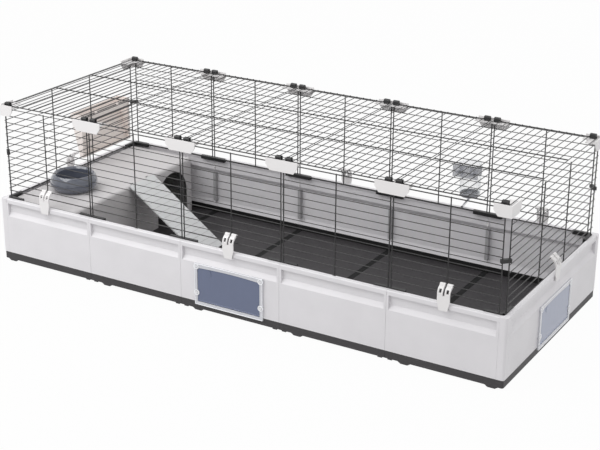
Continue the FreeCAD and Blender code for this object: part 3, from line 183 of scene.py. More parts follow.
class Graph:
    """Node tree of a material or a world, emptied and built up again."""

    def __init__(self, owner: bpy.types.ID) -> None:
        """Empty the owner's node tree.

        Args:
            owner: The material or world that the nodes belong to.
        """
        owner.use_nodes = True
        self.tree = owner.node_tree
        self.tree.nodes.clear()

    def node(self, kind: str, settings: dict[str, Any] | None = None,
             sockets: dict[Any, Any] | None = None, output: Any = 0) -> Signal:
        """Add any node.

        Args:
            kind: Blender's name of the node's type.
            settings: The node's own choices, set first.
            sockets: Values or signals of the inputs, by index or by name.
            output: The output to return, by index or by name.

        Returns:
            The chosen output as a signal.
        """
        made = self.tree.nodes.new(kind)
        for name, choice in (settings or {}).items():
            setattr(made, name, choice)
        for key, given in (sockets or {}).items():
            if isinstance(given, Signal):
                self.tree.links.new(given.socket, made.inputs[key])
            else:
                made.inputs[key].default_value = given
        return Signal(self, made.outputs[output]) if made.outputs else Signal(self, None)

    def position(self) -> Signal:
        """Place on the piece, in the frame of the solids."""
        return self.node("ShaderNodeTexCoord", output="Object")

    def axis(self, place: Signal, name: str) -> Signal:
        """One coordinate of a place, X, Y or Z."""
        return self.node("ShaderNodeSeparateXYZ", sockets={0: place}, output=name)

    def stretched(self, place: Signal, scales: tuple[float, float, float]) -> Signal:
        """A place with each axis scaled, for patterns that run one way."""
        return self.node("ShaderNodeMapping", sockets={"Vector": place, "Scale": scales})

    def noise(self, place: Signal, feature: float, detail: float = 2.0) -> Signal:
        """Soft noise from 0 to 1 whose lumps are about one feature size across."""
        sockets = {"Vector": place, "Scale": 1 / feature, "Detail": detail}
        return self.node("ShaderNodeTexNoise", sockets=sockets)

    def mix(self, share: Any, first: Any, second: Any) -> Signal:
        """Colour between two colours, first at a share of 0 and second at 1."""
        sockets = dict(zip(MIX_INPUTS, (share, first, second)))
        return self.node("ShaderNodeMix", {"data_type": "RGBA"}, sockets, MIX_OUTPUT)

    def hollows(self, reach: float, own: bool = False) -> Signal:
        """How shut in a place is by faces within reach, from 0 in the open to 1 in a closed hollow.

        Args:
            reach: How far off a face may be.
            own: Whether only the faces of the same piece count.

        Returns:
            The share of the directions that are shut off.
        """
        settings = {"samples": CORNER_SAMPLES, "only_local": own}
        return 1 - self.node("ShaderNodeAmbientOcclusion", settings, {"Distance": reach}, "AO")

    def lift(self) -> Signal:
        """Height of the surface normal: 1 on faces that look up and 0 on upright ones."""
        return self.axis(self.node("ShaderNodeNewGeometry", output="Normal"), "Z")

    def bump(self, height: Signal, depth: float) -> Signal:
        """Surface normal for a relief whose full height is the given depth."""
        return self.node("ShaderNodeBump", sockets={"Height": height, "Distance": depth})

    def surface(self, sockets: dict[str, Any]) -> None:
        """Shade the surface by one Principled shader with these sockets."""
        shader = self.node("ShaderNodeBsdfPrincipled", sockets=sockets)
        self.node("ShaderNodeOutputMaterial", sockets={"Surface": shader})


@dataclass(frozen=True)
class Moulded:
    """Moulded plastic: a clouded body colour under a fine grain, with painted shade in its corners.

    Lengths are metres. The shares say how much darker the clouds, the painted shade in the
    corners and the painted shade inside a hollow piece get.
    """

    name: str
    colour: Colour
    roughness: float = 0.45
    roughness_swing: float = 0.12
    cloud_size: float = 0.09
    cloud_detail: float = 4.0
    cloud_share: float = 0.05
    grain_size: float = 0.0011
    grain_depth: float = 0.00006
    # Painted shade in corners: how far it reaches and how much darker it is painted.
    corner_shade_reach: float = 0.012
    corner_shade_share: float = 0.16
    corner_shade_tone_share: float = 0.5
    # Painted shade inside a hollow piece, from its own faces only.
    inside_shade_reach: float = 0.3
    inside_shade_share: float = 0.0
    inside_shade_tone_share: float = 0.05
    coat: float = 0.0

    def build(self) -> bpy.types.Material:
        """Make the material.

        Returns:
            The material, ready for any piece in this plastic.
        """
        material = bpy.data.materials.new(self.name)
        graph = Graph(material)
        place = graph.position()
        clouds = graph.noise(place, self.cloud_size, self.cloud_detail)
        grain = graph.noise(place, self.grain_size)
        cloudy = self.colour.shaded(1 - self.cloud_share).linear()
        dull = graph.mix(clouds, self.colour.linear(), cloudy)
        # Painted shade: darker where nearby faces shut out the sky, in corners and recesses.
        corner_shade = self.colour.shaded(self.corner_shade_tone_share).linear()
        body = graph.mix(graph.hollows(self.corner_shade_reach) * self.corner_shade_share, dull, corner_shade)
        # Painted shade: the inside of a hollow piece darkened where its own faces shut out the sky.
        if self.inside_shade_share > 0:
            dark = self.colour.shaded(self.inside_shade_tone_share).linear()
            inside = graph.hollows(self.inside_shade_reach, own=True)
            body = graph.mix(inside * self.inside_shade_share, body, dark)
        graph.surface({
            "Base Color": body,
            "Roughness": self.roughness + (clouds - NOISE_MEAN) * self.roughness_swing,
            "Coat Weight": self.coat,
            "Normal": graph.bump(grain, self.grain_depth),
        })
        return material


@dataclass(frozen=True)
class FloorPlastic:
    """Dark tray plastic: a coarse grain, hair scratches and dust on top, painted shade on the basin's
    upright sides.
    """

    name: str
    colour: Colour
    scratch_colour: Colour
    roughness: float = 0.55
    grain_size: float = 0.0016
    grain_depth: float = 0.00012
    scratch_width: float = 0.0012
    scratch_run: float = 0.05
    scratch_share: float = 0.35
    scratch_level: float = 0.66
    scratch_edge: float = 0.1
    scratch_gloss: float = 0.1
    patch_level: float = 0.5
    patch_edge: float = 0.3
    cloud_size: float = 0.12
    cloud_detail: float = 5.0
    worn_share: float = 0.9
    dusty_share: float = 1.12
    # Painted shade on the basin's upright sides, where the tray shuts them in.
    side_reach: float = 0.05
    side_level: float = 0.14
    side_edge: float = 0.12
    level_lift: float = 0.5
    level_edge: float = 0.3
    side_shade_share: float = 0.2
    roughness_swing: float = 0.2

    def build(self) -> bpy.types.Material:
        """Make the material.

        Returns:
            The material of the trays.
        """
        material = bpy.data.materials.new(self.name)
        graph = Graph(material)
        place = graph.position()
        clouds = graph.noise(place, self.cloud_size, self.cloud_detail)
        grain = graph.noise(place, self.grain_size)
        drawn = graph.stretched(place, (self.scratch_width / self.scratch_run, 1.0, 1.0))
        hairs = graph.noise(drawn, self.scratch_width).above(self.scratch_level, self.scratch_edge)
        scratches = hairs * clouds.above(self.patch_level, self.patch_edge)
        worn = self.colour.shaded(self.worn_share).linear()
        dust = self.colour.shaded(self.dusty_share).linear()
        matt = self.roughness + (clouds - NOISE_MEAN) * self.roughness_swing
        dusty = graph.mix(clouds, worn, dust)
        scratched = graph.mix(scratches * self.scratch_share, dusty, self.scratch_colour.linear())
        # Painted shade: the upright sides of the basin darkened where the tray shuts them in.
        basin = graph.hollows(self.side_reach, own=True).above(self.side_level, self.side_edge)
        sides = basin * (1 - graph.lift().unsigned().above(self.level_lift, self.level_edge))
        graph.surface({
            "Base Color": graph.mix(sides, scratched, self.colour.shaded(self.side_shade_share).linear()),
            "Roughness": matt - scratches * self.scratch_gloss,
            "Normal": graph.bump(grain, self.grain_depth),
        })
        return material


@dataclass(frozen=True)
class CoatedWire:
    """Steel wire under black powder coat, with an orange-peel skin and dust on the upper side."""

    name: str
    colour: Colour
    dust: Colour
    roughness: float = 0.36
    peel_size: float = 0.0022
    peel_depth: float = 0.00005
    roughness_swing: float = 0.2
    cloud_size: float = 0.088
    cloud_detail: float = 3.0
    dust_share: float = 0.3
    upper_level: float = 0.6
    upper_edge: float = 0.7

    def build(self) -> bpy.types.Material:
        """Make the material.

        Returns:
            The material of the wire panels.
        """
        material = bpy.data.materials.new(self.name)
        graph = Graph(material)
        place = graph.position()
        peel = graph.noise(place, self.peel_size)
        clouds = graph.noise(place, self.cloud_size, self.cloud_detail)
        upper = graph.lift().above(self.upper_level, self.upper_edge)
        dusty_share = upper * clouds * self.dust_share
        graph.surface({
            "Base Color": graph.mix(dusty_share, self.colour.linear(), self.dust.linear()),
            "Roughness": self.roughness + (peel - NOISE_MEAN) * self.roughness_swing,
            "Normal": graph.bump(peel, self.peel_depth),
        })
        return material


@dataclass(frozen=True)
class ClearPlastic:
    """See-through plastic: tinted, thicker to look at on edge, with faint flow lines."""

    name: str
    colour: Colour
    body: float = 0.5
    edge: float = 0.9
    roughness: float = 0.12
    roughness_swing: float = 0.06
    flow_size: float = 0.03
    flow_stretch: tuple[float, float, float] = (1.0, 1.0, 0.35)
    flow_detail: float = 3.0
    flow_depth: float = 0.0002
    flow_share: float = 0.93
    body_swing: float = 0.06
    rim_blend: float = 0.35
    coat: float = 0.4

    def build(self) -> bpy.types.Material:
        """Make the material.

        Returns:
            The material of a see-through piece.
        """
        material = bpy.data.materials.new(self.name)
        graph = Graph(material)
        place = graph.position()
        flow = graph.noise(graph.stretched(place, self.flow_stretch), self.flow_size, self.flow_detail)
        rim = graph.node("ShaderNodeLayerWeight", sockets={"Blend": self.rim_blend}, output="Facing")
        dense = self.colour.shaded(self.flow_share).linear()
        graph.surface({
            "Base Color": graph.mix(flow, self.colour.linear(), dense),
            "Roughness": self.roughness + flow * self.roughness_swing,
            "Alpha": self.body + rim * (self.edge - self.body) + (flow - NOISE_MEAN) * self.body_swing,
            "Normal": graph.bump(flow, self.flow_depth),
            "Coat Weight": self.coat,
        })
        return material


@dataclass(frozen=True)
class BrightSteel:
    """Drawn bright steel: fine lines along one axis and a thin cloud of finger marks."""

    name: str
    colour: Colour
    lines: tuple[float, float, float] = (1.0, 1.0, 0.04)
    line_size: float = 0.0006
    line_depth: float = 0.00002
    mark_size: float = 0.012
    mark_share: float = 0.88
    metallic: float = 1.0
    roughness: float = 0.34
    roughness_swing: float = 0.1

    def build(self) -> bpy.types.Material:
        """Make the material.

        Returns:
            The material of screws and spout.
        """
        material = bpy.data.materials.new(self.name)
        graph = Graph(material)
        place = graph.position()
        drawn = graph.noise(graph.stretched(place, self.lines), self.line_size)
        marks = graph.noise(place, self.mark_size)
        marked = self.colour.shaded(self.mark_share).linear()
        graph.surface({
            "Base Color": graph.mix(marks, self.colour.linear(), marked),
            "Metallic": self.metallic,
            "Roughness": self.roughness + (drawn + marks) * self.roughness_swing,
            "Normal": graph.bump(drawn, self.line_depth),
        })
        return material


Finish = Moulded | FloorPlastic | CoatedWire | ClearPlastic | BrightSteel

WALL = Moulded("wall_white", Colour(229, 227, 230), roughness=0.4)
# Painted shade: the ribs are the walls' white plastic, painted grey and darker in their corners for the
# shade beside them.
SHADED_RIB = Moulded("rib_painted_shade", Colour(172, 171, 173), roughness=0.45, corner_shade_reach=0.02, corner_shade_share=0.5)
FITTING = Moulded("fitting_white", Colour(236, 234, 234), roughness=0.34, cloud_share=0.03)
BLACK = Moulded("black_moulding", Colour(38, 38, 39), roughness=0.42, cloud_share=0.1)
# Painted shade: the inside of the house is darkened.
HOUSE = Moulded("house_grey", Colour(209, 206, 207), roughness=0.5, grain_depth=0.00009,
                inside_shade_share=1.0)
# Painted shade: strong darkening in the ramp's grooves.
RAMP = Moulded("ramp_grey", Colour(218, 219, 220), roughness=0.52, grain_depth=0.00009,
               corner_shade_reach=0.005, corner_shade_share=0.75)
BOWL = Moulded("bowl_blue_grey", Colour(92, 96, 108), roughness=0.13, coat=1.0, grain_depth=0.00001)
# Painted light: lighter than the rack's own beige, to make up for the shade it stands in.
RACK = Moulded("rack_beige_painted_light", Colour(250, 241, 236), roughness=0.48, corner_shade_share=0.06)
HOLDER = ClearPlastic("holder_clear_grey", Colour(186, 188, 195), body=0.5, edge=0.95, flow_size=0.012)
CAP = Moulded("cap_grey", Colour(160, 162, 168), roughness=0.28, coat=0.3)
# Painted shade: near-black for the shade in the seam grooves, with their dark joints.
SEAM_SHADE = Moulded("seam_strip_painted_shade", Colour(6, 6, 7), roughness=0.8, cloud_share=0.1)
TRAY = FloorPlastic("tray_charcoal", Colour(54, 52, 54), Colour(112, 110, 110))
WIRE = CoatedWire("black_coated_wire", Colour(34, 33, 34), Colour(104, 102, 100))
FRAME_CLEAR = ClearPlastic("door_frame_clear", Colour(240, 241, 247), body=0.72, edge=0.9)
FRAME_EDGE = Moulded("door_frame_edge", Colour(248, 249, 252), roughness=0.25, cloud_share=0.02,
                     corner_shade_share=0.05)
PANE_CLEAR = ClearPlastic("door_pane_smoky", Colour(106, 116, 145), body=0.86, edge=0.96, roughness=0.08)
# Painted light: the same smoky pane as the front flap, made paler for the light that shows through it.
PANE_PAINTED_LIGHT = ClearPlastic("door_pane_painted_light", Colour(168, 176, 200), body=0.7, edge=0.9, roughness=0.08)
BOTTLE_CLEAR = ClearPlastic("bottle_clear", Colour(232, 236, 240), body=0.05, edge=0.3, roughness=0.05)
STEEL = BrightSteel("bright_steel", Colour(244, 244, 246))


class Wardrobe:
    """Materials made so far, each once, by the name of its finish."""

    def __init__(self) -> None:
        """Start with none."""
        self.made: dict[str, bpy.types.Material] = {}

    def dress(self, piece: bpy.types.Object, finish: Finish) -> None:
        """Give a piece one finish all over.

        Args:
            piece: A new piece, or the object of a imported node.
            finish: The finish that it gets.
        """
        if finish.name not in self.made:
            self.made[finish.name] = finish.build()
        piece.data.materials.clear()
        piece.data.materials.append(self.made[finish.name])

    def dress_nodes(self, names: Iterable[str], finish: Finish) -> None:
        """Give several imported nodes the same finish.

        Args:
            names: Names of the nodes.
            finish: The finish that they get.
        """
        for name in names:
            self.dress(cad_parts[name], finish)
            log.info("%s in %s", name, finish.name)


@dataclass
class Surface:
    """Points and four-sided faces of a mesh, as whole arrays."""

    points: np.ndarray
    faces: np.ndarray

    @classmethod
    def from_grid(cls, grid: np.ndarray) -> "Surface":
        """Faces between the neighbours of a grid of points, whose last column joins its first.

        Args:
            grid: Points in an array of rows by columns by 3.

        Returns:
            The grid as a surface.
        """
        rows, columns = grid.shape[:2]
        index = np.arange(rows * columns).reshape(rows, columns)
        index = np.hstack([index, index[:, :1]])
        corners = (index[:-1, :-1], index[:-1, 1:], index[1:, 1:], index[1:, :-1])
        return cls(grid.reshape(-1, 3), np.stack(corners, axis=-1).reshape(-1, 4))

    @classmethod
    def joined(cls, parts: Sequence["Surface"]) -> "Surface":
        """Several surfaces as one, each left separate in it.

        Args:
            parts: The surfaces.

        Returns:
            All their points, and their faces counted on from one to the next.
        """
        starts = np.cumsum([0] + [len(part.points) for part in parts[:-1]])
        faces = [part.faces + start for part, start in zip(parts, starts)]
        return cls(np.vstack([part.points for part in parts]), np.vstack(faces))

    @classmethod
    def swept(cls, profile: np.ndarray, path: np.ndarray, across: np.ndarray,
              rise: np.ndarray) -> "Surface":
        """A closed profile carried along a path, with both ends shut.

        Each point is path + across * first + rise * second coordinate of the profile. An
        extra row at each end lies at the profile's middle and shuts the end as a fan.

        Args:
            profile: Corner points of the section, in an array of n by 2.
            path: Points of the path, in an array of m by 3.
            across: Direction of the section's first coordinate.
            rise: Direction of the section's second coordinate.

        Returns:
            The swept bar.
        """
        offset = profile[:, :1] * across + profile[:, 1:] * rise
        middle = np.broadcast_to(offset.mean(axis=0), offset.shape)
        rows = [path[0] + middle, *(place + offset for place in path), path[-1] + middle]
        return cls.from_grid(np.stack(rows))

    @classmethod
    def turned(cls, profile: np.ndarray, centre: np.ndarray, across: np.ndarray, rise: np.ndarray,
               axis: np.ndarray, steps: int = 32) -> "Surface":
        """A profile turned about an axis.

        Each point is centre + radius * (across * cos + rise * sin) + axis * height, for
        angles evenly round the circle.

        Args:
            profile: Radius and height of each row, in an array of n by 2.
            centre: Foot of the axis.
            across: First direction square to the axis.
            rise: Second direction square to the axis.
            axis: Direction of the height.
            steps: Points round the circle.

        Returns:
            The turned shape, closed where the radius is 0 at its ends.
        """
        angle = np.linspace(0, math.tau, steps, endpoint=False)
        circle = np.cos(angle)[:, None] * across + np.sin(angle)[:, None] * rise
        grid = centre + profile[:, None, :1] * circle + profile[:, None, 1:] * axis
        return cls.from_grid(grid)

    def piece(self, name: str) -> bpy.types.Object:
        """Put the surface into the scene, with doubled points merged and faces turned outwards.

        Args:
            name: Name of the new object.

        Returns:
            The new object, at the origin.
        """
        mesh = bpy.data.meshes.new(name)
        mesh.from_pydata(self.points.tolist(), [], self.faces.tolist())
        shape = bmesh.new()
        shape.from_mesh(mesh)
        bmesh.ops.remove_doubles(shape, verts=shape.verts, dist=MERGE_DISTANCE)
        bmesh.ops.recalc_face_normals(shape, faces=shape.faces)
        shape.to_mesh(mesh)
        shape.free()
        piece = bpy.data.objects.new(name, mesh)
        bpy.context.scene.collection.objects.link(piece)
        return piece


@dataclass
class SubAssembly:
    """Group of pieces that are built and dressed together."""

    wardrobe: Wardrobe

    def add(self, surface: Surface, name: str, body: str, finish: Finish, slot: str) -> None:
        """Put a new piece on a body, in a finish.

        Args:
            surface: The shape.
            name: Name of the piece.
            body: Body that it moves with.
            finish: Finish that it gets.
            slot: Slot of the record; not used.
        """
        piece = surface.piece(name)
        self.wardrobe.dress(piece, finish)
        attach(piece, body)
        log.info("%s rides on %s in %s", name, body, finish.name)


@dataclass
class Floor(SubAssembly):
    """The dark floor trays, and near-black strips at their seams that paint the shade in each seam
    groove together with its dark joint.
    """

    strip_width: float = 0.0192
    strip_bevel: float = 0.0006
    strip_low: float = 0.0079
    strip_high: float = 0.0089
    strip_reach: float = 0.3494

    def build(self) -> None:
        """Dress the trays and lay the strips."""
        self.wardrobe.dress_nodes((f"floor_tray_{bay}" for bay in BAYS), TRAY)
        # Painted shade strips over the seam grooves.
        for number, seam in enumerate(SEAMS, start=1):
            self.add(self.seam_shade_strip(seam), f"floor_strip_{number}", "base", SEAM_SHADE, "tray_plastic")

    def seam_shade_strip(self, seam: float) -> Surface:
        """Strip of painted shade over a seam, carried from the front to the back of the basin.

        Its section is a low trapezium: the full width below, less a bevel at each side above.

        Args:
            seam: Place of the seam along X.

        Returns:
            The strip.
        """
        half = self.strip_width / 2
        section = np.array([
            (-half, self.strip_low),
            (half, self.strip_low),
            (half - self.strip_bevel, self.strip_high),
            (self.strip_bevel - half, self.strip_high),
        ])
        path = np.array([(seam, -self.strip_reach, 0.0), (seam, self.strip_reach, 0.0)])
        return Surface.swept(section, path, ALONG, UP)


@dataclass
class Walls(SubAssembly):
    """The white walls and corner posts, with the ribs, pegs and sloping foot inside them."""

    wall_thickness: float = 0.003
    foot_low: float = 0.0302
    foot_high: float = 0.052
    foot_width: float = 0.0062
    foot_gap: float = 0.0003
    corner_gap: float = 0.030
    gate_half: float = 0.116
    rib_width: float = 0.012
    rib_depth: float = 0.013
    rib_bevel: float = 0.001
    rib_low: float = 0.0525
    rib_high: float = 0.157
    peg_inset: float = 0.0133
    peg_width: float = 0.006
    peg_depth: float = 0.004
    peg_low: float = 0.170
    peg_high: float = 0.184

    def build(self) -> None:
        """Dress the walls and add what lies inside them."""
        names = [f"{side}_wall_{bay}" for side in ("front", "back") for bay in BAYS]
        self.wardrobe.dress_nodes([*names, "left_wall", "right_wall", "corner_posts"], WALL)
        for side in Side:
            self.add(self.sloping_foot(side), f"{side.label}_wall_foot", "base", WALL, "wall_plastic")
        for side in (Side.FRONT, Side.BACK):
            # The ribs get a grey of painted shade, though they are the walls' white plastic.
            self.add(self.seam_ribs(side), f"{side.label}_seam_ribs", "base", SHADED_RIB, "wall_plastic")
            self.add(self.seam_pegs(side), f"{side.label}_seam_pegs", "base", FITTING, "wall_plastic")

    def sloping_foot(self, side: Side) -> Surface:
        """Wedge inside the foot of a wall, on the rim of the trays.

        The section is a right-angled wedge carried along the wall: its back lies on the
        wall, its foot on the rim, and its slope faces the pen. On a side with a door it
        stops short of the doorway.

        Args:
            side: The side of the pen.

        Returns:
            The wedge, in two lengths where there is a door.
        """
        face = side.reach - self.wall_thickness - self.foot_gap
        section = np.array([
            (face, self.foot_low),
            (face, self.foot_high),
            (face - self.foot_width, self.foot_low),
        ])
        other = HALF_LENGTH if side.reach == HALF_DEPTH else HALF_DEPTH
        end = other - self.corner_gap
        has_door = side in (Side.FRONT, Side.RIGHT)
        runs = [(-end, -self.gate_half), (self.gate_half, end)] if has_door else [(-end, end)]
        bars = []
        for start, stop in runs:
            path = np.array([[start], [stop]]) * side.along
            bars.append(Surface.swept(section, path, side.outward, UP))
        return Surface.joined(bars)

    def upright_bars(self, side: Side, width: float, depth: float, face: float,
                     levels: tuple[float, float]) -> Surface:
        """Bevelled bars that stand on the inside of a long wall, one at each seam.

        The section is a trapezium on the wall, narrower by a bevel at each side towards
        the pen, and it is carried straight up from the lower level to the upper one.

        Args:
            side: The long side that they stand on.
            width: Width of a bar along the wall.
            depth: How far a bar stands into the pen.
            face: Distance from the middle of the pen to the bars' backs.
            levels: Heights of the bars' lower and upper ends.

        Returns:
            All the bars of that side.
        """
        half = width / 2
        section = np.array([
            (-half, 0.0),
            (half, 0.0),
            (half - self.rib_bevel, depth),
            (self.rib_bevel - half, depth),
        ])
        bars = []
        for seam in SEAMS:
            foot = seam * ALONG + face * side.outward
            path = np.array([foot + level * UP for level in levels])
            bars.append(Surface.swept(section, path, side.along, -side.outward))
        return Surface.joined(bars)

    def seam_ribs(self, side: Side) -> Surface:
        """Ribs over the seams of a long wall, from the sloping foot to the ledge."""
        face = side.reach - self.wall_thickness - self.foot_gap
        return self.upright_bars(side, self.rib_width, self.rib_depth, face,
                                 (self.rib_low, self.rib_high))

    def seam_pegs(self, side: Side) -> Surface:
        """Short pegs above the ribs, on the inside of the set-back band."""
        face = side.reach - self.peg_inset
        return self.upright_bars(side, self.peg_width, self.peg_depth, face,
                                 (self.peg_low, self.peg_high))


@dataclass
class WireCage(SubAssembly):
    """The wire panels with the fittings that join them."""

    def build(self) -> None:
        """Dress the wires, the white fittings and the black ones."""
        sides = [f"{side}_grille_{bay}" for side in ("front", "back", "roof") for bay in BAYS]
        self.wardrobe.dress_nodes([*sides, "left_grille", "right_grille"], WIRE)
        self.wardrobe.dress_nodes(["top_connectors"], FITTING)
        self.wardrobe.dress_nodes(["roof_snaps", "rim_joiners", "corner_clips"], BLACK)


@dataclass
class HoldDownClips(SubAssembly):
    """The white clips that hold the wire panels on the walls."""

    clip_bays: tuple[int, ...] = (1, 3, 5)

    def build(self) -> None:
        """Dress the clips."""
        names = [f"{side}_clip_{bay}" for side in ("front", "back") for bay in self.clip_bays]
        self.wardrobe.dress_nodes([*names, "left_clip", "right_clip"], FITTING)


@dataclass
class Doors(SubAssembly):
    """The two doors: clear frames with bright edges, smoky flaps and their screws; the right flap is
    painted paler for the light through it.
    """

    frame_thickness: float = 0.005
    half_width: float = 0.121
    low: float = 0.022
    high: float = 0.157
    bead_width: float = 0.0022
    bead_crest: float = 0.0011
    bead_height: float = 0.0009
    bead_inset: float = 0.0012
    lug_across: float = 0.114
    lug_heights: tuple[float, float] = (0.062, 0.1475)
    ring_outer: float = 0.0092
    ring_inner: float = 0.0062
    ring_height: float = 0.0012

    def build(self) -> None:
        """Dress the frames, the flaps and the screws, and add the bright edges."""
        self.wardrobe.dress_nodes(["front_door_frame", "right_door_frame"], FRAME_CLEAR)
        self.wardrobe.dress_nodes(["front_door_flap"], PANE_CLEAR)
        # Painted light: the right flap is the smoky pane, painted paler.
        self.wardrobe.dress_nodes(["right_door_flap"], PANE_PAINTED_LIGHT)
        self.wardrobe.dress_nodes(["door_screws"], STEEL)
        for side in (Side.FRONT, Side.RIGHT):
            trim = Surface.joined([*self.edge_beads(side), *self.lug_rings(side)])
            self.add(trim, f"{side.label}_door_trim", "base", FRAME_EDGE, "door_frame_plastic")

    def face(self, side: Side) -> np.ndarray:
        """Middle of the outer face of a door's frame, at the height of the ground."""
        return side.outward * (side.reach + self.frame_thickness)

    def edge_beads(self, side: Side) -> list[Surface]:
        """Thin raised beads along the outer border of a frame.

        Each bead is a low trapezium carried along one edge, an inset inside it, so the
        four beads meet at the frame's corners.

        Args:
            side: The side with the door.

        Returns:
            Four straight beads.
        """
        half = self.bead_width / 2
        crest = self.bead_crest / 2
        section = np.array([
            (-half, 0.0),
            (half, 0.0),
            (crest, self.bead_height),
            (-crest, self.bead_height),
        ])
        reach = self.half_width - self.bead_inset
        low, high = self.low + self.bead_inset, self.high - self.bead_inset
        corners = [(-reach, low), (reach, low), (reach, high), (-reach, high)]
        beads = []
        for start, stop in zip(corners, corners[1:] + corners[:1]):
            ends = [self.face(side) + across * side.along + up * UP for across, up in (start, stop)]
            is_level = start[1] == stop[1]
            across = UP if is_level else side.along
            beads.append(Surface.swept(section, np.array(ends), across, side.outward))
        return beads

    def lug_rings(self, side: Side) -> list[Surface]:
        """Raised rings round the four screws of a frame.

        Each is a low rectangle turned about the screw: out, up, in and back down.

        Args:
            side: The side with the door.

        Returns:
            Four rings.
        """
        section = np.array([
            (self.ring_inner, 0.0),
            (self.ring_outer, 0.0),
            (self.ring_outer, self.ring_height),
            (self.ring_inner, self.ring_height),
            (self.ring_inner, 0.0),
        ])
        rings = []
        for across in (-self.lug_across, self.lug_across):
            for height in self.lug_heights:
                centre = self.face(side) + across * side.along + height * UP
                rings.append(Surface.turned(section, centre, side.along, UP, side.outward))
        return rings


@dataclass
class Loft(SubAssembly):
    """The house with its ramp, the bowl on top of it and the hay rack beside it."""

    def build(self) -> None:
        """Dress the house, the ramp, the bowl and the hay rack."""
        self.wardrobe.dress_nodes(["loft_house"], HOUSE)
        self.wardrobe.dress_nodes(["ramp"], RAMP)
        self.wardrobe.dress_nodes(["bowl"], BOWL)
        self.wardrobe.dress_nodes(["hay_rack"], RACK)


@dataclass
class Drinker(SubAssembly):
    """The drinking bottle with its cap, spout and holder."""

    def build(self) -> None:
        """Dress the bottle, the cap, the holder and the spout."""
        self.wardrobe.dress_nodes(["bottle"], BOTTLE_CLEAR)
        self.wardrobe.dress_nodes(["bottle_holder"], HOLDER)
        self.wardrobe.dress_nodes(["bottle_cap"], CAP)
        self.wardrobe.dress_nodes(["drinking_spout"], STEEL)


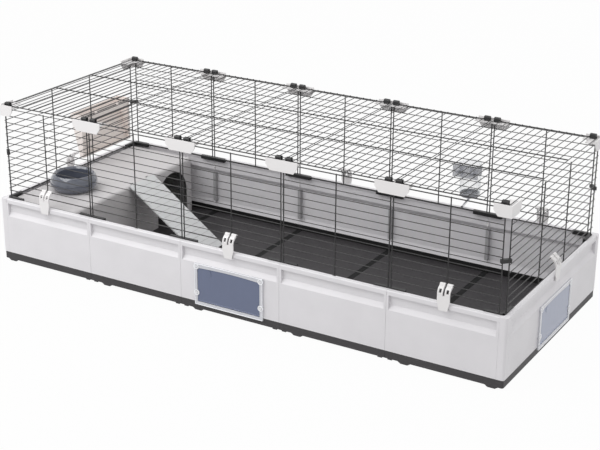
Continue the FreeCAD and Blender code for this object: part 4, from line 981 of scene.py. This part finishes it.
@dataclass
class Studio:
    """Pale floor, soft light and the camera at the photograph's viewpoint."""

    azimuth_deg: float = 30.56
    elevation_deg: float = 21.48
    roll_deg: float = 0.354
    viewpoint: tuple[float, float, float] = (2.124, -3.542, 1.807)
    focal_px: float = 1400.0
    floor_half: float = 40.0
    floor_colour: Colour = Colour(196, 196, 196)
    floor_glow: float = 1.0
    floor_glow_share: float = 0.97
    sky_strength: float = 0.93
    softbox_watts: float = 38.0
    softbox_width: float = 2.4
    softbox_height: float = 1.6
    softbox_distance: float = 3.2
    softbox_azimuth_deg: float = -46.0
    softbox_elevation_deg: float = 50.0

    def build(self) -> None:
        """Set up the view, the camera, the floor and the light."""
        bpy.context.scene.view_settings.view_transform = "Standard"
        self.camera()
        self.floor()
        self.light()

    @staticmethod
    def back_from(azimuth_deg: float, elevation_deg: float) -> np.ndarray:
        """Unit vector from the pen towards a viewer or a lamp.

        Args:
            azimuth_deg: Turn from the front towards the right, in degrees.
            elevation_deg: Rise above the level, in degrees.

        Returns:
            The vector, in the frame of the solids.
        """
        azimuth, elevation = math.radians(azimuth_deg), math.radians(elevation_deg)
        level = math.cos(elevation)
        return np.array([math.sin(azimuth) * level, -math.cos(azimuth) * level, math.sin(elevation)])

    def camera(self) -> None:
        """Stand the camera at the viewpoint and turn it as the photograph was taken."""
        data = bpy.data.cameras.new("camera")
        data.sensor_width = SENSOR_WIDTH_MM
        data.lens = self.focal_px / IMAGE_WIDTH_PX * SENSOR_WIDTH_MM
        camera = bpy.data.objects.new("camera", data)
        back = Vector(self.back_from(self.azimuth_deg, self.elevation_deg))
        roll = Matrix.Rotation(math.radians(self.roll_deg), ROTATION_SIZE, "Z")
        turn = back.to_track_quat("Z", "Y").to_matrix() @ roll
        camera.matrix_world = Matrix.Translation(self.viewpoint) @ turn.to_4x4()
        bpy.context.scene.collection.objects.link(camera)
        bpy.context.scene.camera = camera

    def floor(self) -> None:
        """Lay a wide floor that looks almost white to the camera and keeps a faint shadow."""
        corners = np.array([(-1, -1, 0), (1, -1, 0), (1, 1, 0), (-1, 1, 0)]) * self.floor_half
        mesh = bpy.data.meshes.new("studio_floor")
        mesh.from_pydata(corners.tolist(), [], [(0, 1, 2, 3)])
        floor = bpy.data.objects.new("studio_floor", mesh)
        bpy.context.scene.collection.objects.link(floor)
        material = bpy.data.materials.new("studio_floor")
        graph = Graph(material)
        seen = self.seen_directly(graph)
        matt = graph.node("ShaderNodeBsdfDiffuse", sockets={"Color": self.floor_colour.linear()})
        glow = graph.node("ShaderNodeEmission", sockets={"Strength": self.floor_glow})
        share = seen * self.floor_glow_share
        shader = graph.node("ShaderNodeMixShader", sockets={0: share, 1: matt, 2: glow})
        graph.node("ShaderNodeOutputMaterial", sockets={"Surface": shader})
        mesh.materials.append(material)

    @staticmethod
    def seen_directly(graph: Graph) -> Signal:
        """1 for rays of the camera, reflections and see-through pieces, otherwise 0.

        Args:
            graph: The graph that the test is for.

        Returns:
            The test as a signal.
        """
        camera, glossy, passing = (graph.node("ShaderNodeLightPath", output=f"Is {kind} Ray")
                                   for kind in ("Camera", "Glossy", "Transmission"))
        return camera.highest(glossy).highest(passing)

    def light(self) -> None:
        """Light the pen by an even white sky and one large softbox at the left front."""
        world = bpy.data.worlds.new("studio")
        bpy.context.scene.world = world
        graph = Graph(world)
        seen = self.seen_directly(graph)
        strength = self.sky_strength + seen * (1 - self.sky_strength)
        sky = graph.node("ShaderNodeBackground", sockets={"Color": SKY_WHITE, "Strength": strength})
        graph.node("ShaderNodeOutputWorld", sockets={"Surface": sky})
        data = bpy.data.lights.new("softbox", "AREA")
        data.shape = "RECTANGLE"
        data.size = self.softbox_width
        data.size_y = self.softbox_height
        data.energy = self.softbox_watts
        softbox = bpy.data.objects.new("softbox", data)
        back = Vector(self.back_from(self.softbox_azimuth_deg, self.softbox_elevation_deg))
        turn = back.to_track_quat("Z", "Y").to_matrix().to_4x4()
        softbox.matrix_world = Matrix.Translation(back * self.softbox_distance) @ turn
        bpy.context.scene.collection.objects.link(softbox)


def main() -> None:
    """Build the studio and every sub-assembly in order."""
    Studio().build()
    wardrobe = Wardrobe()
    for kind in (Floor, Walls, WireCage, HoldDownClips, Doors, Loft, Drinker):
        kind(wardrobe).build()
        log.info("%s done", kind.__name__)


if __name__ == "__main__":
    main()
